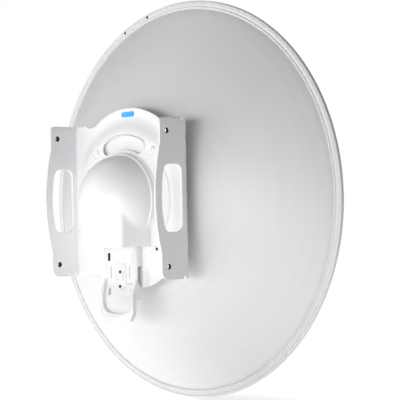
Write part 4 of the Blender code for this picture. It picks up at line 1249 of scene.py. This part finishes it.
# %% Model the cradle
def wall_outlines():
    """The side walls above and below the gap in them, in (y, z)."""
    upper = [(TRAY_FACE_Y, TRAY_TOP_Z), (TRAY_SEAT_Y, TRAY_TOP_Z), (TRAY_SEAT_Y, -0.1030)]
    upper += [(TRAY_FRONT_Y, -0.1045), (TRAY_FRONT_Y, -0.1250), (TRAY_FACE_Y, -0.1250)]
    lower = [(TRAY_FACE_Y, -0.1200), (TRAY_FRONT_Y, -0.1200), (TRAY_FRONT_Y, -0.1300)]
    lower += [(-0.1463, -0.1312), (-0.1442, -0.1338), (-0.1428, -0.1372), (-0.1424, -0.1410)]
    lower += [(-0.1424, -0.1500), (-0.1431, -0.1528), (-0.1450, -0.1540), (LIP_FACE_Y, -0.1540)]
    lower += [(LIP_FACE_Y, -0.1680), (LIP_BACK_Y, -0.1680), (LIP_BACK_Y, -0.1490), (-0.1585, -0.1435)]
    return upper, lower


def tray_bores():
    return [drill(SCREW_BORE, (0, z), -0.17, -0.13) for z in TRAY_SCREW_Z]


def tray_cutters():
    """Boxes for the slots, the slits and the two square marks, and the bores for the screws."""
    cutters = []
    for (x0, x1), (z0, z1), depth in TRAY_OPENINGS:
        cutters.append(box((x0, TRAY_FACE_Y - THROUGH, z0), (x1, TRAY_FACE_Y + depth, z1)))
    return cutters + tray_bores()


def model_cradle():
    half = TRAY_HALF
    bend = [(TRAY_FRONT_Y, TRAY_TOP_Z), (TRAY_FRONT_Y, -0.1300), (-0.1484, -0.1350), (-0.1520, -0.1480)]
    bend += [(LIP_FACE_Y, -0.1530), (LIP_FACE_Y, -0.1950), (LIP_FLOOR_Y, -0.1950)]
    bend += follow_floor(-0.1560, BEND_START_Z, 0.0) + [(TRAY_FACE_Y, TRAY_TOP_Z)]
    cradle = make_piece("radio_tray", prism(bend, 0.001 - half, half - 0.001, "X"))
    walls = []
    for side in (-1, 1):
        for outline, wall in zip(wall_outlines(), (TRAY_WALL, LIP_WALL)):
            walls.append(prism(outline, side * (half - wall), side * half, "X"))
    wide = half + 0.004
    frame = [(wide, -0.1500), (wide, -0.2000), (-wide, -0.2000), (-wide, -0.1500)]
    combine(cradle, walls + [prism(frame, LIP_FACE_Y - 0.0005, LIP_BACK_Y, "Y")], "UNION")
    hollow = stack([(lip_hollow(0), LIP_FLOOR_Y), (lip_hollow(0.0006), LIP_BACK_Y - 0.001)], "Y")
    combine(cradle, [hollow])
    combine(cradle, [prism(tray_plan(), -0.18, -0.12, "Y")], "INTERSECT")
    round_edges(cradle, 0.0005, angle=28.0)
    return combine(cradle, tray_cutters())


dress(model_cradle(), TRAY_PLASTIC, "white_plastic", "radio_cradle")


# %% Model the clamp strip, its blocks and its two screws
def model_strip():
    """The strip follows the tray's floor where that bends back. Its two pads are shallow recesses."""
    side = [(TRAY_FACE_Y - SEAT_GAP, STRIP_TOP_Z), (TRAY_FACE_Y - STRIP_HEIGHT, STRIP_TOP_Z)]
    side += follow_floor(BEND_START_Z, STRIP_BOTTOM_Z, STRIP_HEIGHT)
    side += follow_floor(STRIP_BOTTOM_Z, BEND_START_Z, SEAT_GAP)
    strip = make_piece("clamp_plate", prism(side, -STRIP_HALF, STRIP_HALF, "X"))
    round_edges(strip, 0.0003, angle=28.0)
    pads = [box((0.0058, -0.156, -0.1255), (0.0098, TRAY_FACE_Y + 0.0003, -0.1105))]
    pads.append(box((0.0052, -0.156, -0.1425), (0.0098, floor_y(-0.1380) + 0.0003, -0.1335)))
    return combine(strip, pads + tray_bores())


def model_block(name, side, z):
    """A block between the tray and the bracket, bored for its screw."""
    block = make_piece(name, prism(side, -BLOCK_HALF, BLOCK_HALF, "X"))
    combine(block, [drill(SCREW_BORE, (0, z), -0.17, -0.13)])
    return round_edges(block, 0.0006)


def model_tray_screw(name, head_y, z):
    """A small dark screw sunk in the strip, with a hexagon socket."""
    profile = [(0, head_y), (0.0020, head_y), (0.0024, head_y + 0.0003), (0.0024, -0.1300), (0, -0.1300)]
    screw = make_piece(name, lathe(profile, 24, (0, z)))
    return combine(screw, [prism(hexagon(0.0008, (0, z)), head_y - 0.001, head_y + 0.0009, "Y")])


def model_latch_slot_shade():
    """A dark pad in the latch slot: painted shade that keeps the slot dark."""
    (x0, x1), (z0, z1), _ = LATCH_SLOT
    return make_piece("latch_slot_shade_pad", box((x0, TRAY_FACE_Y + 0.0009, z0), (x1, TRAY_FRONT_Y, z1)))


# Painted shade: a dark pad that keeps the latch slot dark
dress(model_latch_slot_shade(), SHADE_BLACK, "dark_steel")
dress(model_strip(), TRAY_PLASTIC, "white_plastic", "clamp_strip")
block_face_y = TRAY_FRONT_Y + SEAT_GAP
upper_side = [(block_face_y, -0.1040), (TRAY_SEAT_Y, -0.1040)]
upper_side += [(TRAY_SEAT_Y, -0.1305), (block_face_y, -0.1305)]
lower_side = [(TRAY_SEAT_Y, -0.1308), (-0.1475, -0.1308), (-0.1487, -0.1395), (TRAY_SEAT_Y, -0.1395)]
upper_z, lower_z = TRAY_SCREW_Z
for name, side, z, node in (
    ("support_block", upper_side, upper_z, "cradle_support"),
    ("foot_block", lower_side, lower_z, "cradle_foot"),
):
    dress(model_block(name, side, z), TRAY_PLASTIC, "white_plastic", node)
for name, head_y, z in (("upper", -0.1521, upper_z), ("lower", -0.1529, lower_z)):
    screw = model_tray_screw("tray_screw_" + name, head_y, z)
    dress(screw, BLACK_SCREW, "dark_steel", "cradle_screw_" + name)

# %% [markdown]
# ## Hub, standoffs and fasteners
# A flat plate behind the windows and a cast ring carry the bracket's centre on the dish, and four
# tubular standoffs carry its corners. On the real dish these are ordinary turned and cast parts, so
# each is a turned profile here. Where one meets the bowl, a cutter with the bowl's own curve gives
# it a fitting seat.

# %% Cutters with the curve of the bowl
RAISED_Y = PLATE_BACK_Y - RAISED_HEIGHT
HUB_PLATE_Y = RAISED_Y + 0.0035
HUB_PLATE_FRONT_Y = HUB_PLATE_Y + 0.002
HUB_PLATE_RADIUS = 0.1015
HUB_RING_RADIUS = 0.060


def behind_bowl(inner, outer):
    """A cutter for a piece behind the bowl: a ring of all that lies in front of the dish's back."""
    radii = stations(inner, outer, 0.006)
    curve = [(bowl_back(radius)[0], bowl_back(radius)[1] - SEAT_GAP) for radius in radii]
    return lathe(curve + [(outer, 0.05), (inner, 0.05)], 128)


def before_bowl(inner, outer):
    """A cutter for a piece in the bowl: a ring of all that lies behind the reflecting surface."""
    curve = [(radius, bowl_y(radius) + SEAT_GAP) for radius in stations(inner, outer, 0.006)]
    return lathe(curve + [(outer, -0.20), (inner, -0.20)], 128)


print("hub bolts:", len(HUB_BOLTS), "corners:", len(CORNERS))


# %% Model the hub plate and the hub ring
def sleeve(inner, outer, start, end, chamfer):
    """The profile of a round bush or plate with a hole, its outer edge at the start chamfered."""
    return [(inner, start), (outer - chamfer, start), (outer, start + chamfer), (outer, end), (inner, end)]


def model_hub_plate():
    profile = sleeve(HUB_OPENING, HUB_PLATE_RADIUS, HUB_PLATE_Y, HUB_PLATE_FRONT_Y, 0.0004)
    plate = make_piece("window_backing", lathe(profile, 160))
    return combine(plate, [drill(SCREW_HOLE, place) for place in (*HUB_BOLTS, *CORNERS.values())])


def model_hub_ring():
    profile = sleeve(HUB_OPENING, HUB_RING_RADIUS, HUB_PLATE_FRONT_Y + SEAT_GAP, -0.09, 0.001)
    ring = make_piece("cast_hub_ring", lathe(profile, 128))
    cutters = [behind_bowl(HUB_OPENING - 0.004, HUB_RING_RADIUS + 0.006)]
    return combine(ring, cutters + [drill(SCREW_HOLE, place) for place in HUB_BOLTS])


dress(model_hub_plate(), BRACKET_COAT, "painted_aluminium", "hub_plate")
dress(model_hub_ring(), CASTING, "cast_alloy", "hub_ring")


# %% [markdown]
# The screws and bolts are few and small, and two functions make all of them: a round head with a
# hexagon socket, and a hexagon head on a washer. The plate's four screws are painted like the
# plate, and their heads are thinner, with a smaller socket.

# %% Functions for the fasteners
SHANK_RADIUS = 0.0025
HEAD_RADIUS = 0.0048
HEAD_HEIGHT = 0.0030
PLATE_HEAD_HEIGHT = 0.0013
SHADE_DOT_PLACE = (0.0700, -0.0770)


def socket_screw(name, place, head_y, tip_y, height=HEAD_HEIGHT, sign=-1, socket=0.42):
    """A screw along Y with a low round head. Sign is the side of head_y on which the head stands."""
    top = head_y + sign * height
    profile = [(0, top), (HEAD_RADIUS - 0.0007, top), (HEAD_RADIUS - 0.0002, top - sign * 0.0002)]
    profile += [(HEAD_RADIUS, top - sign * 0.0007), (HEAD_RADIUS, head_y), (SHANK_RADIUS, head_y)]
    screw = make_piece(name, lathe(profile + [(SHANK_RADIUS, tip_y), (0, tip_y)], 36, place))
    bottom, mouth = sorted((top + sign * 0.001, top - sign * 0.0012))
    return combine(screw, [prism(hexagon(HEAD_RADIUS * socket, place, 12.0), bottom, mouth, "Y")])


def washer_bolt(name, place, head_y, tip_y):
    """A hexagon bolt on a round washer. Its head stands before the bowl."""
    bolt = make_piece(name, lathe(disc(HEAD_RADIUS, head_y - 0.0080, head_y - 0.0027), 36, place))
    head = prism(hexagon(0.0043, place, 20.0), head_y - 0.0034, head_y, "Y")
    combine(bolt, [head], "UNION")
    combine(bolt, [before_bowl(0.085, 0.116)])
    combine(bolt, [lathe(disc(SHANK_RADIUS, tip_y, head_y - 0.0007), 24, place)], "UNION")
    return round_edges(bolt, 0.0002, segments=1, angle=40.0)


def model_shade_dot():
    """A small dark dot shaped like a rivet beside the lower right screw: painted shade for the dark dot that
    shows there.
    """
    top, foot = RAISED_Y - 0.0006, RAISED_Y + 0.0012
    profile = [(0, top), (0.0017, top), (0.0022, top + 0.0004), (0.0022, foot), (0, foot)]
    return make_piece("painted_shade_dot", lathe(profile, 24, SHADE_DOT_PLACE))


def model_standoff(name, place):
    profile = sleeve(SCREW_HOLE, 0.0075, HUB_PLATE_FRONT_Y + SEAT_GAP, -0.090, 0.0005)
    return combine(make_piece(name, lathe(profile, 48, place)), [behind_bowl(0.080, 0.122)])


print("screw heads in mm:", HEAD_RADIUS * 2000, "wide")

# %% Place the fasteners
screw_seat_y = RAISED_Y + DIMPLE_DEPTH - SEAT_GAP
bolt_head_y = bowl_y(math.hypot(BOLT_X, BOLT_Z) + HEAD_RADIUS) + 0.0015
for corner, place in CORNERS.items():
    dress(model_standoff("spacer_" + corner, place), ZINC, "steel", "standoff_" + corner)
    screw = socket_screw(
        "plate_screw_" + corner, place, screw_seat_y, -0.1180, height=PLATE_HEAD_HEIGHT, socket=0.3
    )
    dress(screw, BRACKET_COAT, "steel", "bracket_screw_" + corner)
    bolt = washer_bolt("bowl_bolt_" + corner, place, bolt_head_y, -0.1150)
    dress(bolt, ZINC, "steel", "reflector_bolt_" + corner)
# Painted shade: a dark dot beside the lower right screw
dress(model_shade_dot(), BLACK_SCREW, "dark_steel")
for number, place in enumerate(HUB_BOLTS, 1):
    bolt = socket_screw(f"ring_bolt_{number}", place, RAISED_Y - SEAT_GAP, -0.1240)
    dress(bolt, ZINC, "steel", f"hub_bolt_{number}")


# %% [markdown]
# ## Feed and waveguide
# The camera doesn't see the front, but the part has to be whole. The radio meets a cast adapter
# inside the cover, and the wave leaves through a tube to a cone of plastic, which throws it back
# into the bowl off a round splash plate. All of these are turned.

# %% Model the adapter and the feed's base
FEED_TUBE_RADIUS = 0.020
FEED_BORE = 0.0165
FEED_TUBE_END_Y = 0.030
FEED_FLANGE_RADIUS = 0.046
FEED_FLANGE_Y = -0.1120
FEED_SCREWS = four_around(0.036, 47.0)
SPLASH_RADIUS = 0.046
SPLASH_BACK_Y = 0.066
SPLASH_FRONT_Y = 0.079


def model_adapter():
    """A disc with a spigot through the bracket's opening, and a round port in its back."""
    back = RAISED_Y - SEAT_GAP
    profile = [(0, back - 0.0020), (0.0095, back - 0.0020), (0.0095, back - 0.0060), (0.0180, back - 0.0060)]
    profile += [(0.0184, back - 0.0056), (0.0200, back - 0.0056), (0.0204, back - 0.0060)]
    profile += [(0.0437, back - 0.0060), (0.0445, back - 0.0052), (0.0445, back), (0.0240, back)]
    return make_piece("port_disc", lathe(profile + [(0.0240, -0.1283), (0, -0.1283)], 96))


def model_feed_flange():
    outer, collar, inner = FEED_FLANGE_RADIUS, HUB_HOLE_RADIUS - SEAT_GAP, FEED_TUBE_RADIUS + SEAT_GAP
    face = FEED_FLANGE_Y
    profile = [(outer, face - 0.0015), (outer - 0.0015, face), (inner + 0.0035, face)]
    profile += [(inner + 0.0030, face + 0.0003), (inner, face + 0.0003), (inner, -0.1280)]
    profile += [(collar, -0.1280), (collar, bowl_y(HUB_HOLE_RADIUS) + SEAT_GAP)]
    profile += [(radius, bowl_y(radius) + SEAT_GAP) for radius in stations(HUB_HOLE_RADIUS, outer, 0.004)]
    flange = make_piece("feed_base", lathe(profile, 128))
    return combine(flange, [drill(SCREW_HOLE, place) for place in FEED_SCREWS])


dress(model_adapter(), CASTING, "cast_alloy", "waveguide_adapter")
dress(model_feed_flange(), CASTING, "cast_alloy", "feed_flange")

# %% Model the feed's tube, cone and splash plate
def model_feed_tube():
    """The tube, with a turned groove near each end and a bore for the cone's spigot."""
    outer, end = FEED_TUBE_RADIUS, FEED_TUBE_END_Y
    profile = [(0, -0.1277), (outer, -0.1277)]
    for groove in (-0.1000, 0.0200):
        profile += [(outer, groove - 0.0008), (outer - 0.0005, groove - 0.0004)]
        profile += [(outer - 0.0005, groove + 0.0004), (outer, groove + 0.0008)]
    profile += [(outer, end - 0.0015), (outer - 0.0015, end), (FEED_BORE, end)]
    return make_piece("feed_pipe", lathe(profile + [(FEED_BORE, 0.0100), (0, 0.0100)], 96))


def model_feed_cone():
    """The cone widens in an even curve from the tube to the splash plate."""
    spigot, end = FEED_BORE - SEAT_GAP, FEED_TUBE_END_Y + SEAT_GAP
    top = SPLASH_BACK_Y - SEAT_GAP
    profile = [(0, 0.0103), (spigot, 0.0103), (spigot, end), (FEED_TUBE_RADIUS - 0.0015, end)]
    for share in stations(0.1, 1.0, 0.1):
        profile.append((0.0185 + 0.0233 * share ** 1.45, end + (top - 0.0010 - end) * share))
    return make_piece("feed_horn", lathe(profile + [(0.0418, top), (0, top)], 96))


def model_splash_plate():
    outer, back, front = SPLASH_RADIUS, SPLASH_BACK_Y, SPLASH_FRONT_Y
    profile = [(0, back), (outer - 0.0010, back), (outer - 0.0003, back + 0.0003), (outer, back + 0.0010)]
    profile += [(outer, back + 0.0036), (outer - 0.0004, back + 0.0046)]
    for share in stations(0.15, 1.0, 0.17):
        profile.append(((outer - 0.0004) * (1 - share), back + 0.0046 + 0.0084 * (1 - (1 - share) ** 2)))
    return make_piece("splash_disc", lathe(profile, 96))


dress(model_feed_tube(), TURNED, "anodised", "feed_tube")
dress(model_feed_cone(), FEED_PLASTIC, "dielectric", "feed_cone")
dress(model_splash_plate(), COVER_PLASTIC, "white_plastic", "splash_plate")
for number, place in enumerate(FEED_SCREWS, 1):
    screw = socket_screw(f"base_screw_{number}", place, FEED_FLANGE_Y + SEAT_GAP, -0.1185, sign=1)
    dress(screw, ZINC, "steel", f"feed_screw_{number}")


# %% [markdown]
# ## Badge
# A plain enamelled pill on the top bump. Its edge is rounded, so that it catches the light.

# %% Model the badge
BADGE_HALF_LENGTH = 0.0145
BADGE_HALF_HEIGHT = 0.0042
BADGE_Z = 0.135


def badge_outline(inset):
    straight, radius = BADGE_HALF_LENGTH - BADGE_HALF_HEIGHT, BADGE_HALF_HEIGHT - inset
    return arc(straight, BADGE_Z, radius, -90, 90, 14) + arc(-straight, BADGE_Z, radius, 90, 270, 14)


def model_badge():
    back = PLATE_BACK_Y - SEAT_GAP
    levels = [(0.0, back), (0.0, back - 0.0004), (0.0002, back - 0.00065), (0.0007, back - 0.0008)]
    return make_piece("enamel_badge", stack([(badge_outline(inset), y) for inset, y in levels], "Y"))


dress(model_badge(), ENAMEL, "blue_enamel", "badge")
